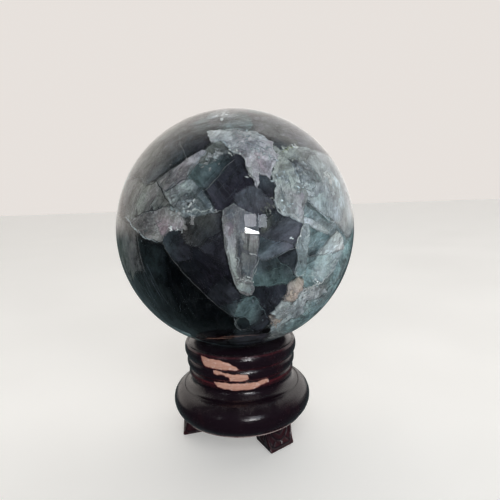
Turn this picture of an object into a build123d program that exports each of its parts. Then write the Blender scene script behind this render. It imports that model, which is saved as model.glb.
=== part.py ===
"""Polished fluorite crystal ball on a turned and carved wooden stand.

Millimetres, +Z up. The origin is on the stand's axis, on the surface that the feet rest on. The front faces -Y.
The ball lies loose in the collar's seat. The collar's spigot is glued into the plinth, and three carved feet are
pinned and glued under the plinth with dowels.
"""

import math
import os

from build123d import *

# Ball and its seat
ball_diameter = 100.0
seat_gap = 0.3  # all round between the ball and its seat
seat_land_outer_radius = 14.2
seat_land_inner_radius = 11.0  # also the well's radius
seat_proud = 0.3  # seat's edge above the lip's crest
well_depth = 8.5  # below the lip's crest

# Collar: three turned beads, widening upwards to a lip round a shallow dish
collar_foot_radius = 22.05
lower_groove_radius = 22.7
upper_groove_radius = 23.4
lip_radius = 24.3
lower_bead_height = 4.25
middle_bead_height = 5.0
upper_bead_height = 5.9
bead_bulge = 0.85
lip_rise = 0.5  # lip's crest above its outer edge
lip_width = 1.3
dish_depth = 1.55  # below the lip's crest

# Spigot of the collar, glued in the plinth
spigot_radius = 9.0
spigot_length = 8.0
glue_gap = 0.05  # all round a spigot or a dowel, and 4 times that past its end

# Plinth: a cove over a big torus moulding
plinth_height = 16.8
plinth_bottom_radius = 27.7
plinth_equator_radius = 30.5
plinth_equator_height = 6.75  # above the plinth's underside
shoulder_radius = 25.9
shoulder_height = 13.05  # above the plinth's underside
quirk = 0.35  # depth and width of the line between torus and cove
plinth_edge_height = 0.7

# Feet
foot_count = 3
foot_height = 9.0
first_foot_azimuth = 35.5  # degrees from the front towards +X
foot_names = ["foot_front_right", "foot_rear", "foot_left"]
foot_inner_radius = 8.5
foot_top_radius = 25.2
toe_radius = 27.3
toe_height = 1.0
foot_pad_inner_radius = 15.0
foot_inner_rise = 5.0  # height of the arched inner end's turning point
foot_top_half_width = 8.0  # at the toe's radius, under the plinth
foot_bottom_half_width = 6.0  # at the toe's radius, on the surface
foot_top_taper = 0.26  # half width lost for each millimetre inwards
foot_bottom_taper = 0.16
foot_face_sag = 0.5  # hollow of the outer face

# Dowels between the plinth and its feet
dowel_radius = 1.5
dowel_inset = 5.2  # from a foot's outer face, under the plinth, to its dowel's axis
dowel_length_in_plinth = 5.0
dowel_length_in_foot = 4.0

# Places that follow
dowel_circle_radius = foot_top_radius - dowel_inset
plinth_top = foot_height + plinth_height
lower_groove_z = plinth_top + lower_bead_height
upper_groove_z = lower_groove_z + middle_bead_height
lip_edge_z = upper_groove_z + upper_bead_height
lip_crest_z = lip_edge_z + lip_rise
well_floor_z = lip_crest_z - well_depth
seat_sphere_radius = ball_diameter / 2 + seat_gap
ball_centre_z = lip_crest_z + seat_proud + math.sqrt(seat_sphere_radius**2 - seat_land_outer_radius**2)
seat_inner_z = ball_centre_z - math.sqrt(seat_sphere_radius**2 - seat_land_inner_radius**2)


def bulged_arc(start, end, bulge):
    """Arc from start to end, standing out to the right of that direction by bulge."""
    middle_x = (start[0] + end[0]) / 2
    middle_z = (start[1] + end[1]) / 2
    run_x = end[0] - start[0]
    run_z = end[1] - start[1]
    length = math.hypot(run_x, run_z)
    middle = (middle_x + bulge * run_z / length, middle_z - bulge * run_x / length)
    return ThreePointArc(start, middle, end)


def turned(edges):
    """Solid of revolution about Z from a closed outline of (radius, height) edges."""
    face = make_face(Plane.XZ * Wire(edges))
    return revolve(face, Axis.Z)


def make_ball():
    return Pos(0, 0, ball_centre_z) * Sphere(ball_diameter / 2)


def make_collar():
    spigot_end = plinth_top - spigot_length
    foot = (collar_foot_radius, plinth_top)
    lower_groove = (lower_groove_radius, lower_groove_z)
    upper_groove = (upper_groove_radius, upper_groove_z)
    lip_edge = (lip_radius, lip_edge_z)
    lip_crest = (lip_radius - lip_width / 2, lip_crest_z)
    lip_inner = (lip_radius - lip_width, lip_crest_z - lip_rise / 2)
    land_outer = (seat_land_outer_radius, lip_crest_z + seat_proud)
    land_inner = (seat_land_inner_radius, seat_inner_z)
    land_middle_radius = (seat_land_outer_radius + seat_land_inner_radius) / 2
    land_middle_z = ball_centre_z - math.sqrt(seat_sphere_radius**2 - land_middle_radius**2)
    dish_middle = ((lip_inner[0] + land_outer[0]) / 2, lip_crest_z - dish_depth)
    edges = [
        Line((0, spigot_end), (spigot_radius, spigot_end)),
        Line((spigot_radius, spigot_end), (spigot_radius, plinth_top)),
        Line((spigot_radius, plinth_top), foot),
        bulged_arc(foot, lower_groove, bead_bulge),
        bulged_arc(lower_groove, upper_groove, bead_bulge),
        bulged_arc(upper_groove, lip_edge, bead_bulge),
        ThreePointArc(lip_edge, lip_crest, lip_inner),
        ThreePointArc(lip_inner, dish_middle, land_outer),
        ThreePointArc(land_outer, (land_middle_radius, land_middle_z), land_inner),
        Line(land_inner, (seat_land_inner_radius, well_floor_z)),
        Line((seat_land_inner_radius, well_floor_z), (0, well_floor_z)),
        Line((0, well_floor_z), (0, spigot_end)),
    ]
    return turned(edges)


def dowel_places():
    """Centre of each dowel at the plinth's underside, with its foot's azimuth."""
    places = []
    for number in range(foot_count):
        azimuth = first_foot_azimuth + number * 360 / foot_count
        angle = math.radians(azimuth)
        x = dowel_circle_radius * math.sin(angle)
        y = -dowel_circle_radius * math.cos(angle)
        places.append((azimuth, x, y))
    return places


def make_dowel(x, y, clearance):
    """A dowel, or the space that it needs when clearance isn't 0."""
    low = foot_height - dowel_length_in_foot - 4 * clearance
    high = foot_height + dowel_length_in_plinth + 4 * clearance
    pin = Cylinder(dowel_radius + clearance, high - low, align=(Align.CENTER, Align.CENTER, Align.MIN))
    return Pos(x, y, low) * pin


def make_plinth():
    underside_edge = (plinth_bottom_radius - plinth_edge_height / 2, foot_height)
    edge_top = (plinth_bottom_radius, foot_height + plinth_edge_height)
    equator = (plinth_equator_radius, foot_height + plinth_equator_height)
    shoulder = (shoulder_radius, foot_height + shoulder_height)
    quirk_root = (shoulder_radius - quirk, foot_height + shoulder_height - quirk)
    cove_start = (shoulder_radius - 2 * quirk, foot_height + shoulder_height)
    cove_end = (collar_foot_radius - quirk, plinth_top)
    cove_sag = 0.2 * math.hypot(cove_start[0] - cove_end[0], cove_start[1] - cove_end[1])
    socket_radius = spigot_radius + glue_gap
    socket_floor = plinth_top - spigot_length - 4 * glue_gap
    edges = [
        Line((0, foot_height), underside_edge),
        bulged_arc(underside_edge, edge_top, plinth_edge_height / 5),
        TangentArc(equator, edge_top, tangent=(0, -1)),
        TangentArc(equator, shoulder, tangent=(0, 1)),
        Line(shoulder, quirk_root),
        Line(quirk_root, cove_start),
        bulged_arc(cove_start, cove_end, -cove_sag),
        Line(cove_end, (socket_radius, plinth_top)),
        Line((socket_radius, plinth_top), (socket_radius, socket_floor)),
        Line((socket_radius, socket_floor), (0, socket_floor)),
        Line((0, socket_floor), (0, foot_height)),
    ]
    plinth = turned(edges)
    for _, x, y in dowel_places():
        plinth -= make_dowel(x, y, glue_gap)
    return plinth


def foot_outline(height, half_width, taper):
    """Plan outline of a foot at a height, running past both of its ends."""
    inner = foot_inner_radius - 2
    outer = toe_radius + 2
    inner_half = half_width - taper * (toe_radius - inner)
    outer_half = half_width + taper * (outer - toe_radius)
    corners = [(inner, -inner_half), (outer, -outer_half), (outer, outer_half), (inner, inner_half)]
    return Pos(0, 0, height) * make_face(Polyline(*corners, close=True))


def foot_side():
    """Side outline of a foot that points along +X, as a slab wider than the foot."""
    top_inner = (foot_inner_radius, foot_height)
    top_outer = (foot_top_radius, foot_height)
    toe = (toe_radius, toe_height)
    toe_under = (toe_radius - toe_height * 0.6, 0)
    pad_inner = (foot_pad_inner_radius, 0)
    rise = (foot_inner_radius, foot_inner_rise)
    edges = [
        Line(top_inner, rise),
        bulged_arc(rise, pad_inner, -1.2),
        Line(pad_inner, toe_under),
        bulged_arc(toe_under, toe, 0.25),
        bulged_arc(toe, top_outer, -foot_face_sag),
        Line(top_outer, top_inner),
    ]
    face = make_face(Plane.XZ * Wire(edges))
    return extrude(face, amount=2 * foot_top_half_width, both=True)


def make_foot(azimuth, x, y):
    bottom = foot_outline(0, foot_bottom_half_width, foot_bottom_taper)
    top = foot_outline(foot_height, foot_top_half_width, foot_top_taper)
    wedge = loft([bottom, top], ruled=True)
    foot = Rot(0, 0, azimuth - 90) * (wedge & foot_side())
    return foot - make_dowel(x, y, glue_gap)


def main():
    os.makedirs("parts", exist_ok=True)
    nodes = {"crystal_ball": make_ball(), "seat_collar": make_collar(), "plinth": make_plinth()}
    for name, (azimuth, x, y) in zip(foot_names, dowel_places()):
        nodes[name] = make_foot(azimuth, x, y)
    nodes["foot_dowels"] = Compound([make_dowel(x, y, 0) for _, x, y in dowel_places()])
    for name, shape in nodes.items():
        export_step(shape, f"parts/{name}.step")


main()
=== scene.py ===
"""Looks of a polished fluorite ball on a turned, lacquered and chipped wooden stand.

The ball is a clear polished shell round an opaque heart. Between them lie the mineral's zones: plates with
broken edges at several depths, which stand for growth zones, healed fractures and cleavage planes. The stand
is turned again from the CAD profile, finely enough for its chips, tool marks and carving.
"""

import math
import random

import bpy
import numpy as np
from mathutils import Matrix, Quaternion, Vector, kdtree, noise
from mathutils.geometry import delaunay_2d_cdt


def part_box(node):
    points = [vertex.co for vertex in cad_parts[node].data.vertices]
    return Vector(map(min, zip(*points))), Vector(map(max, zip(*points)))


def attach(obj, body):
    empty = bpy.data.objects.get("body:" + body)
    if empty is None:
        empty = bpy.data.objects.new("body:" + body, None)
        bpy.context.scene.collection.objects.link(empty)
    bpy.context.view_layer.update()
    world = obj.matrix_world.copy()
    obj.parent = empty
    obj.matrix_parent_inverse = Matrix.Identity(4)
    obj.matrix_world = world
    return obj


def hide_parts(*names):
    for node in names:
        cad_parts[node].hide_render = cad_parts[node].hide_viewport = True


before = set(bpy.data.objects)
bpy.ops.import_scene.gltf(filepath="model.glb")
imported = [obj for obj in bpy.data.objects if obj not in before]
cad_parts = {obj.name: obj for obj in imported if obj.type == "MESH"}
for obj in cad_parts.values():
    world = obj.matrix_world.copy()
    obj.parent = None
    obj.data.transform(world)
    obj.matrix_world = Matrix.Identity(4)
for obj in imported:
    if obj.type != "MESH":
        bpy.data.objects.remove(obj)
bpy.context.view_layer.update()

MM = 0.001
ball_low, ball_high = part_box("crystal_ball")
BALL_CENTRE = Vector((0, 0, (ball_low[2] + ball_high[2]) / 2))
BALL_MM = (ball_high[1] - ball_low[1]) / 2 / MM

# Photographer's view: the camera's place round the ball, and how far it is turned from the ball, in degrees
CAMERA_DISTANCE = 3.7 * BALL_MM * MM
CAMERA_ELEVATION = 4.68
CAMERA_YAW = -1.78
CAMERA_PITCH = -2.95
CAMERA_ROLL = 2.1
CAMERA_LENS = 30.5


# ---------------------------------------------------------------- colours

def linear(*levels):
    """Linear colour from display levels of 0 to 255."""
    out = []
    for level in levels:
        v = level / 255
        out.append(v / 12.92 if v <= 0.04045 else ((v + 0.055) / 1.055) ** 2.4)
    return out


# How the mineral's zones look in soft light, as display levels
TONES = {
    "abyss": (10, 13, 17),
    "night": (22, 25, 30),
    "plum": (36, 36, 44),
    "deep_teal": (30, 37, 39),
    "navy": (47, 49, 56),
    "slate": (60, 68, 73),
    "violet": (77, 81, 88),
    "smoke": (89, 91, 91),
    "moss": (101, 106, 102),
    "rose": (112, 112, 112),
    "blush": (142, 132, 140),
    "teal": (100, 121, 124),
    "frost": (125, 134, 137),
    "celadon": (132, 139, 136),
    "lavender": (136, 136, 142),
    "ice": (143, 149, 151),
    "snow": (154, 165, 169),
    "tan": (148, 138, 129),
    "white": (196, 202, 202),
    "lime": (150, 165, 120),
}
FLUORITE_INDEX = 1.434
GRAZING = 0.08  # least cosine at which a view through the surface is worth following
LIGHT_GAIN = 1.45  # surface colour over the tone that it has in this scene's light


def surface(tone, light):
    """Surface colour of a tone, which light makes paler or darker."""
    return [min(0.92, v * LIGHT_GAIN * light) for v in linear(*TONES[tone])]


# ---------------------------------------------------------------- node helpers

class Nodes:
    """A small builder of the nodes of a material or of the world."""

    def __init__(self, owner, output="ShaderNodeOutputMaterial"):
        self.owner = owner
        owner.use_nodes = True
        self.tree = owner.node_tree
        self.tree.nodes.clear()
        self.output = self.add(output)

    def add(self, kind, settings=None, **inputs):
        node = self.tree.nodes.new(kind)
        for key, value in (settings or {}).items():
            setattr(node, key, value)
        for key, value in inputs.items():
            self.plug(node.inputs[key.replace("_", " ")], value)
        return node

    def plug(self, socket, value):
        if isinstance(value, bpy.types.NodeSocket):
            self.tree.links.new(value, socket)
        else:
            socket.default_value = value

    def math(self, operation, a, b, clamp=False):
        node = self.add("ShaderNodeMath", {"operation": operation, "use_clamp": clamp})
        self.plug(node.inputs[0], a)
        self.plug(node.inputs[1], b)
        return node.outputs[0]

    def times(self, a, b):
        return self.math("MULTIPLY", a, b)

    def plus(self, a, b, clamp=False):
        return self.math("ADD", a, b, clamp)

    def ramp(self, value, low, high, to_low=0.0, to_high=1.0):
        """A smooth passage from to_low to to_high as value goes from low to high."""
        node = self.add("ShaderNodeMapRange", {"interpolation_type": "SMOOTHSTEP"}, Value=value)
        for key, end in (("From Min", low), ("From Max", high), ("To Min", to_low), ("To Max", to_high)):
            self.plug(node.inputs[key], end)
        return node.outputs["Result"]

    def mix(self, factor, a, b):
        """Colour a where factor is 0, and b where it is 1."""
        node = self.add("ShaderNodeMix", {"data_type": "RGBA"}, Factor=factor)
        self.plug(node.inputs[6], a)
        self.plug(node.inputs[7], b)
        return node.outputs[2]

    def scaled(self, colour, light):
        node = self.add("ShaderNodeVectorMath", {"operation": "SCALE"}, Scale=light)
        self.plug(node.inputs[0], colour)
        return node.outputs[0]

    def attribute(self, name, output="Fac"):
        return self.add("ShaderNodeAttribute", {"attribute_name": name}).outputs[output]

    def noise(self, vector, scale, detail, roughness, distortion=0.0):
        node = self.add("ShaderNodeTexNoise", Vector=vector, Scale=scale, Detail=detail,
                        Roughness=roughness, Distortion=distortion)
        return node.outputs["Fac"]

    def cells(self, vector, scale, output):
        """Voronoi cells: their Color, or the Distance to their edges."""
        feature = "DISTANCE_TO_EDGE" if output == "Distance" else "F1"
        node = self.add("ShaderNodeTexVoronoi", {"feature": feature}, Vector=vector, Scale=scale)
        return node.outputs[output]

    def stretch(self, vector, scale):
        return self.add("ShaderNodeMapping", Vector=vector, Scale=scale).outputs["Vector"]

    def position(self):
        return self.add("ShaderNodeTexCoord").outputs["Object"]

    def bump(self, height, strength, distance):
        node = self.add("ShaderNodeBump", Height=height, Strength=strength, Distance=distance)
        return node.outputs["Normal"]

    def finish(self, shader):
        self.plug(self.output.inputs["Surface"], shader)
        return self.owner


def new_nodes(name):
    return Nodes(bpy.data.materials.new(name))


# ---------------------------------------------------------------- materials of the ball

def zone_material(name, mist, shard, fibre, veining, thinnest, roughness, gloss):
    """A mineral zone: misty, split into shards, streaked along its lay, laced with veins, thin in places.

    mist, shard and fibre are how far each of those lightens and darkens the tone. veining is the strength
    of the veins, thinnest the least opacity, and gloss the specular level.
    """
    n = new_nodes(name)
    lay = n.attribute("lay", "Vector")
    soft = n.attribute("soft")
    edge = n.attribute("edge")
    mists = n.noise(n.stretch(lay, (0.10, 0.16, 1.0)), 1.0, 7.0, 0.62, 0.5)
    fibres = n.noise(n.stretch(lay, (0.35, 1.9, 1.0)), 1.0, 6.0, 0.75, 0.25)
    grains = n.noise(lay, 1.5, 4.0, 0.75, 0.6)
    wander = n.add("ShaderNodeTexNoise", Vector=lay, Scale=0.7, Detail=5.0)
    warped = n.add("ShaderNodeVectorMath", {"operation": "MULTIPLY_ADD"})
    n.plug(warped.inputs[0], wander.outputs["Color"])
    n.plug(warped.inputs[1], (1.7, 1.7, 0.0))
    n.plug(warped.inputs[2], n.stretch(lay, (0.55, 1.0, 1.0)))
    warped = warped.outputs[0]

    def lightened(value, low, high, by):
        return n.ramp(value, low, high, 1.0 - by, 1.0 + by)

    light = lightened(mists, 0.34, 0.66, mist)
    light = n.times(light, lightened(n.cells(warped, 0.35, "Color"), 0.1, 0.9, shard))
    light = n.times(light, lightened(n.cells(warped, 1.1, "Color"), 0.1, 0.9, shard * 0.8))
    light = n.times(light, lightened(fibres, 0.36, 0.64, fibre))
    light = n.times(light, lightened(grains, 0.36, 0.64, fibre))
    vein = n.plus(n.ramp(n.cells(warped, 0.35, "Distance"), 0.0, 0.07, veining, 0.0),
                  n.ramp(n.cells(warped, 0.8, "Distance"), 0.0, 0.06, veining * 0.7, 0.0))
    vein = n.times(vein, n.ramp(mists, 0.42, 0.6))
    vein = n.times(vein, n.ramp(grains, 0.4, 0.6, 0.2, 1.3))
    # Painted highlight: a pale line along the edges of plates, as strong as their glint.
    painted_edge_glint = n.times(n.ramp(edge, 0.05, 0.5, 1.0, 0.0), n.attribute("glint"))
    pale = n.plus(vein, n.times(painted_edge_glint, n.ramp(grains, 0.4, 0.58)), clamp=True)
    colour = n.mix(pale, n.scaled(n.attribute("tint", "Color"), light), (0.56, 0.63, 0.63, 1.0))
    ragged = n.plus(edge, n.times(n.plus(grains, -0.5), n.times(soft, 2.2)))
    alpha = n.times(n.ramp(ragged, -0.02, soft), n.ramp(mists, 0.28, 0.5, thinnest, 1.0))
    bump = n.bump(n.plus(fibres, grains), 0.5, 0.0004)
    shader = n.add("ShaderNodeBsdfPrincipled", Base_Color=colour, Roughness=roughness, Normal=bump,
                   Alpha=alpha, Specular_IOR_Level=gloss)
    return n.finish(shader.outputs[0])


def shell_material():
    """Clear polished surface of the ball. Lamps shine through it on to the zones."""
    n = new_nodes("polished_fluorite")
    smear = n.ramp(n.noise(n.position(), 60.0, 5.0, 0.7), 0.5, 0.8, 0.0, 0.03)
    glass = n.add("ShaderNodeBsdfPrincipled", Roughness=smear, IOR=FLUORITE_INDEX, Transmission_Weight=1.0,
                  Base_Color=(0.97, 0.99, 1.0, 1.0))
    clear = n.add("ShaderNodeBsdfTransparent")
    both = n.add("ShaderNodeMixShader")
    n.plug(both.inputs[0], n.add("ShaderNodeLightPath").outputs["Is Shadow Ray"])
    n.plug(both.inputs[1], glass.outputs[0])
    n.plug(both.inputs[2], clear.outputs[0])
    return n.finish(both.outputs[0])


# ---------------------------------------------------------------- shapes of the ball

def pairs(points):
    """Each point with the next, the last with the first."""
    return zip(points, points[1:] + points[:1])


def direction(azimuth, elevation):
    """Unit vector from the ball's centre. Azimuth is from the front, towards +X; both are in degrees."""
    a = math.radians(azimuth)
    e = math.radians(elevation)
    return Vector((math.sin(a) * math.cos(e), -math.cos(a) * math.cos(e), math.sin(e)))


def sunk(heading, share):
    """Direction of the place at a share of the radius that is seen behind a point of the ball's surface.

    The outlines are drawn as the photographer sees them on the surface, and the polished shell bends that
    view.
    """
    surface_point = heading * BALL_MM
    ray = (surface_point - direction(0, CAMERA_ELEVATION) * CAMERA_DISTANCE / MM).normalized()
    facing = -ray.dot(heading)
    if facing < GRAZING:
        return heading
    bent = 1 - (1 - facing**2) / FLUORITE_INDEX**2
    ray = ray / FLUORITE_INDEX + heading * (facing / FLUORITE_INDEX - math.sqrt(bent))
    inward = -surface_point.dot(ray)
    reach = inward**2 - BALL_MM**2 * (1 - share**2)
    return (surface_point + ray * (inward - math.sqrt(max(0.0, reach)))).normalized()


def tangent_axes(normal):
    """Unit vectors across and up, square to a direction."""
    across = Vector((0, 0, 1)).cross(normal)
    if across.length < 0.05:
        across = Vector((1, 0, 0))
    across = (across - normal * across.dot(normal)).normalized()
    return across, normal.cross(across)


def broken_line(start, end, jag, step, rng):
    """Points from start towards end, without end, broken up by jag at every scale down to step.

    Runs of 2 millimetres and less are broken up the most, as small teeth.
    """
    run = end - start
    if run.length < step:
        return [start]
    teeth = 1 + 1.8 * min(1.0, 2.0 / run.length)
    middle = (start + end) / 2 + Vector((-run.y, run.x)) * rng.uniform(-jag, jag) * teeth
    return broken_line(start, middle, jag, step, rng) + broken_line(middle, end, jag, step, rng)


def outline_distance(points, outline):
    """Distance of each point from a closed outline, and whether it lies inside."""
    a = outline
    b = np.roll(outline, -1, axis=0)
    ab = b - a
    ap = points[:, None, :] - a[None, :, :]
    t = np.clip((ap * ab).sum(2) / np.maximum((ab * ab).sum(1), 1e-12), 0, 1)
    away = np.linalg.norm(ap - t[:, :, None] * ab[None, :, :], axis=2).min(1)
    crosses = (a[None, :, 1] > points[:, None, 1]) != (b[None, :, 1] > points[:, None, 1])
    rise = np.where(np.abs(ab[:, 1]) < 1e-9, 1e-9, ab[:, 1])
    at_x = a[None, :, 0] + (points[:, None, 1] - a[None, :, 1]) * (ab[:, 0] / rise)[None, :]
    inside = (crosses & (points[:, None, 0] < at_x)).sum(1) % 2 == 1
    return away, inside


def fill_outline(outline, spacing, rng):
    """Points inside a closed outline, and the triangles between them and it."""
    low = outline.min(0)
    high = outline.max(0)
    grid = []
    wander = spacing * 0.15
    for row, y in enumerate(np.arange(low[1], high[1], spacing * 0.87)):
        for x in np.arange(low[0] + spacing / 2 * (row % 2), high[0], spacing):
            grid.append((x + rng.uniform(-wander, wander), y + rng.uniform(-wander, wander)))
    along = np.roll(outline, -1, axis=0) - np.roll(outline, 1, axis=0)
    along = along / np.maximum(np.linalg.norm(along, axis=1, keepdims=True), 1e-9)
    across = np.stack([-along[:, 1], along[:, 0]], axis=1) * spacing * 0.45
    beside = [tuple(p) for p in outline + across] + [tuple(p) for p in outline - across]
    candidates = np.array(grid + beside)
    away, inside = outline_distance(candidates, outline)
    room = np.where(np.arange(len(candidates)) < len(grid), spacing * 0.7, spacing * 0.36)
    inner = candidates[inside & (away > room)]
    everything = [Vector(p) for p in np.concatenate([outline, inner])]
    made = delaunay_2d_cdt(everything, [], [list(range(len(outline)))], 1, 1e-6)
    return np.array([tuple(p) for p in made[0]]), made[2]


SHALLOWEST = 0.99  # share of the radius that no plate passes
WALL_EDGE = 0.3  # distance from the rim that a plate's walls are coloured by
FLAKE_TILT = 0.15


class Zones:
    """Collects plates of one kind into one mesh. Its lengths are millimetres from the ball's centre."""

    def __init__(self, name, spacing, relief, thickness):
        self.name = name
        self.spacing = spacing
        self.relief = relief
        self.thickness = thickness
        self.points = []
        self.faces = []
        self.tint = []
        self.lay = []
        self.edge = []
        self.glint = []
        self.soft = []

    def plate(self, normal, corners, tone, light, share, jag, glint, soft, lay, rng, tilt=0.0):
        """A plate round a direction, from corners in millimetres along the surface from there.

        A tone is a name, or two names and the angle along which the first passes into the second.
        """
        across, up = tangent_axes(normal)
        rim = []
        for start, end in pairs(corners):
            rim += broken_line(start, end, jag, self.spacing * 0.6, rng)
        outline = np.array([tuple(p) for p in rim])
        flat, triangles = fill_outline(outline, self.spacing, rng)
        distance, _ = outline_distance(flat, outline)
        base = len(self.points)
        turn = Matrix.Rotation(-lay, 2)
        slope = Vector((math.cos(lay * 1.7), math.sin(lay * 1.7))) * tilt
        offset = Vector((rng.uniform(-50, 50), rng.uniform(-50, 50)))
        seed = rng.uniform(-99, 99)
        first, second, toward = (tone, tone, 0) if isinstance(tone, str) else tone
        first, second = Vector(surface(first, light)), Vector(surface(second, light))
        toward = Vector((math.cos(math.radians(toward)), math.sin(math.radians(toward))))
        reach = max(1e-6, max(abs(toward.dot(Vector(p))) for p in outline))
        for (x, y), away in zip(flat, distance):
            arc = math.hypot(x, y) / BALL_MM
            heading = normal.copy()
            if arc > 1e-6:
                heading = normal * math.cos(arc) + (across * x + up * y).normalized() * math.sin(arc)
            rough = noise.fractal(Vector((x * 0.22, y * 0.22, seed)), 0.9, 2.1, 5)
            height = BALL_MM * share + self.relief * rough * min(1.0, away / 1.2)
            height += slope.x * x + slope.y * y
            self.points.append(heading * min(height, BALL_MM * SHALLOWEST))
            drift = Vector((x * 0.11, y * 0.11, seed + 20))
            passed = 0.5 + 0.5 * toward.dot(Vector((x, y))) / reach + 0.45 * noise.noise(drift * 1.5)
            passed = min(1.0, max(0.0, passed))
            passed = passed * passed * (3 - 2 * passed)
            colour = first.lerp(second, passed)
            hue = 0.08 * noise.noise(drift)
            green = 0.05 * noise.noise(drift + Vector((7, 3, 1)))
            self.tint.append((colour.x * (1 + hue), colour.y * (1 + green), colour.z * (1 - hue * 0.4)))
            self.soft.append(soft)
            local = turn @ Vector((x, y)) + offset
            self.lay.append((local.x, local.y, seed))
            self.edge.append(away)
            glitter = noise.noise(Vector((x * 0.16, y * 0.16, seed)))
            self.glint.append(glint * max(0.0, 0.45 + 1.3 * glitter))
        for triangle in triangles:
            self.faces.append([base + i for i in triangle])
        self.wall(base, triangles)

    def wall(self, base, triangles):
        """Closes a plate with walls down from its rim and a plain back."""
        edges = set()
        for triangle in triangles:
            edges.update(pairs(list(triangle)))
        rim = {a: b for a, b in edges if (b, a) not in edges}
        lower = {}
        for a in rim:
            lower[a] = len(self.points)
            point = self.points[base + a]
            self.points.append(point * (1 - self.thickness / point.length))
            self.tint.append(self.tint[base + a])
            self.lay.append(self.lay[base + a])
            self.edge.append(WALL_EDGE)
            self.glint.append(self.glint[base + a] * 0.5)
            self.soft.append(self.soft[base + a])
        for a, b in rim.items():
            self.faces.append([base + b, base + a, lower[a], lower[b]])
        while rim:
            start, current = rim.popitem()
            loop = [start]
            while current in rim:
                loop.append(current)
                current = rim.pop(current)
            if len(loop) > 2:
                self.faces.append([lower[v] for v in reversed(loop)])

    def outlined(self, corners_deg, tone, light, share, jag, glint, soft, lay, rng):
        """A plate from corners given as azimuth and elevation in degrees, and a lay in degrees."""
        normal, corners = spread_flat(corners_deg, share)
        corners = anticlockwise(corners)
        self.plate(normal, corners, tone, light, share, jag, glint, soft, math.radians(lay), rng)

    def vein(self, line_deg, width, tone, light, share, jag, rng):
        """A thin strip along a line of azimuths and elevations, widest in its middle."""
        normal, line = spread_flat(line_deg, share)
        path = []
        for start, end in zip(line, line[1:]):
            path += broken_line(start, end, jag, 1.2, rng)
        path.append(line[-1])
        left = []
        right = []
        for i, point in enumerate(path):
            run = path[min(i + 1, len(path) - 1)] - path[max(i - 1, 0)]
            side = Vector((-run.y, run.x)).normalized()
            swell = math.sin(math.pi * (i + 0.35) / (len(path) - 0.3)) ** 0.5
            half = width / 2 * swell * rng.uniform(0.45, 1.2)
            left.append(point + side * half)
            right.append(point - side * half)
        corners = anticlockwise(right + left[::-1])
        self.plate(normal, corners, tone, light, share, 0.0, 0.0, 0.05, 0.0, rng)

    def flake(self, heading, size, tone, light, share, rng):
        """A small sharp-cornered chip of crystal."""
        corners = []
        turn = rng.uniform(0, math.tau)
        stretch = rng.uniform(1.0, 2.6)
        count = rng.choice([3, 4, 4, 5])
        for i in range(count):
            angle = math.tau * (i + rng.uniform(-0.25, 0.25)) / count
            x = math.cos(angle) * size / 2 * stretch
            y = math.sin(angle) * size / 2
            corners.append(Matrix.Rotation(turn, 2) @ Vector((x, y)))
        lean = FLAKE_TILT * rng.uniform(0.2, 1.0)
        self.plate(heading, corners, tone, light, share, 0.04, 0.0, 0.12, turn, rng, lean)

    def build(self, material):
        mesh = bpy.data.meshes.new(self.name)
        mesh.from_pydata([BALL_CENTRE + p * MM for p in self.points], [], self.faces)
        store(mesh, "tint", "FLOAT_COLOR", "color", [v for c in self.tint for v in (*c, 1.0)])
        store(mesh, "lay", "FLOAT_VECTOR", "vector", [v for c in self.lay for v in c])
        store(mesh, "edge", "FLOAT", "value", self.edge)
        store(mesh, "glint", "FLOAT", "value", self.glint)
        store(mesh, "soft", "FLOAT", "value", self.soft)
        return place(self.name, mesh, material, "ball", 35.0)


def spread_flat(places, share):
    """Middle direction of some azimuths and elevations at a depth, and the places laid flat round it."""
    headings = [sunk(direction(a, e), share) for a, e in places]
    normal = sum(headings, Vector()).normalized()
    across, up = tangent_axes(normal)
    points = []
    for heading in headings:
        flat = Vector((heading.dot(across), heading.dot(up)))
        points.append(flat.normalized() * normal.angle(heading) * BALL_MM)
    return normal, points


def anticlockwise(corners):
    doubled_area = sum(a.x * b.y - b.x * a.y for a, b in pairs(corners))
    return corners[::-1] if doubled_area < 0 else corners


def store(mesh, name, kind, field, values):
    """Keeps a value for each point of a mesh, for its material to read."""
    mesh.attributes.new(name, kind, "POINT").data.foreach_set(field, values)


def ring_grid(rings, around):
    """Faces between closed rings of points that follow each other in a mesh."""
    faces = []
    for ring in range(rings - 1):
        for column in range(around):
            a = ring * around + column
            b = ring * around + (column + 1) % around
            faces.append([a, b, b + around, a + around])
    return faces


def capped_rings(rings, around):
    """Faces of a closed solid of rings from the bottom up, with a middle point under and one over them."""
    bottom = rings * around
    last = bottom - around
    faces = ring_grid(rings, around)
    for column in range(around):
        following = (column + 1) % around
        faces.append([bottom, following, column])
        faces.append([bottom + 1, last + column, last + following])
    return faces


def place(name, mesh, material, body, crease=40.0):
    """Makes a piece of a mesh, smooth up to a crease angle in degrees, and lets it ride on a body."""
    mesh.validate()
    mesh.materials.append(material)
    mesh.shade_smooth()
    mesh.set_sharp_from_angle(angle=math.radians(crease))
    piece = bpy.data.objects.new(name, mesh)
    bpy.context.scene.collection.objects.link(piece)
    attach(piece, body)
    return piece


# ---------------------------------------------------------------- the mineral's zones

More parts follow.
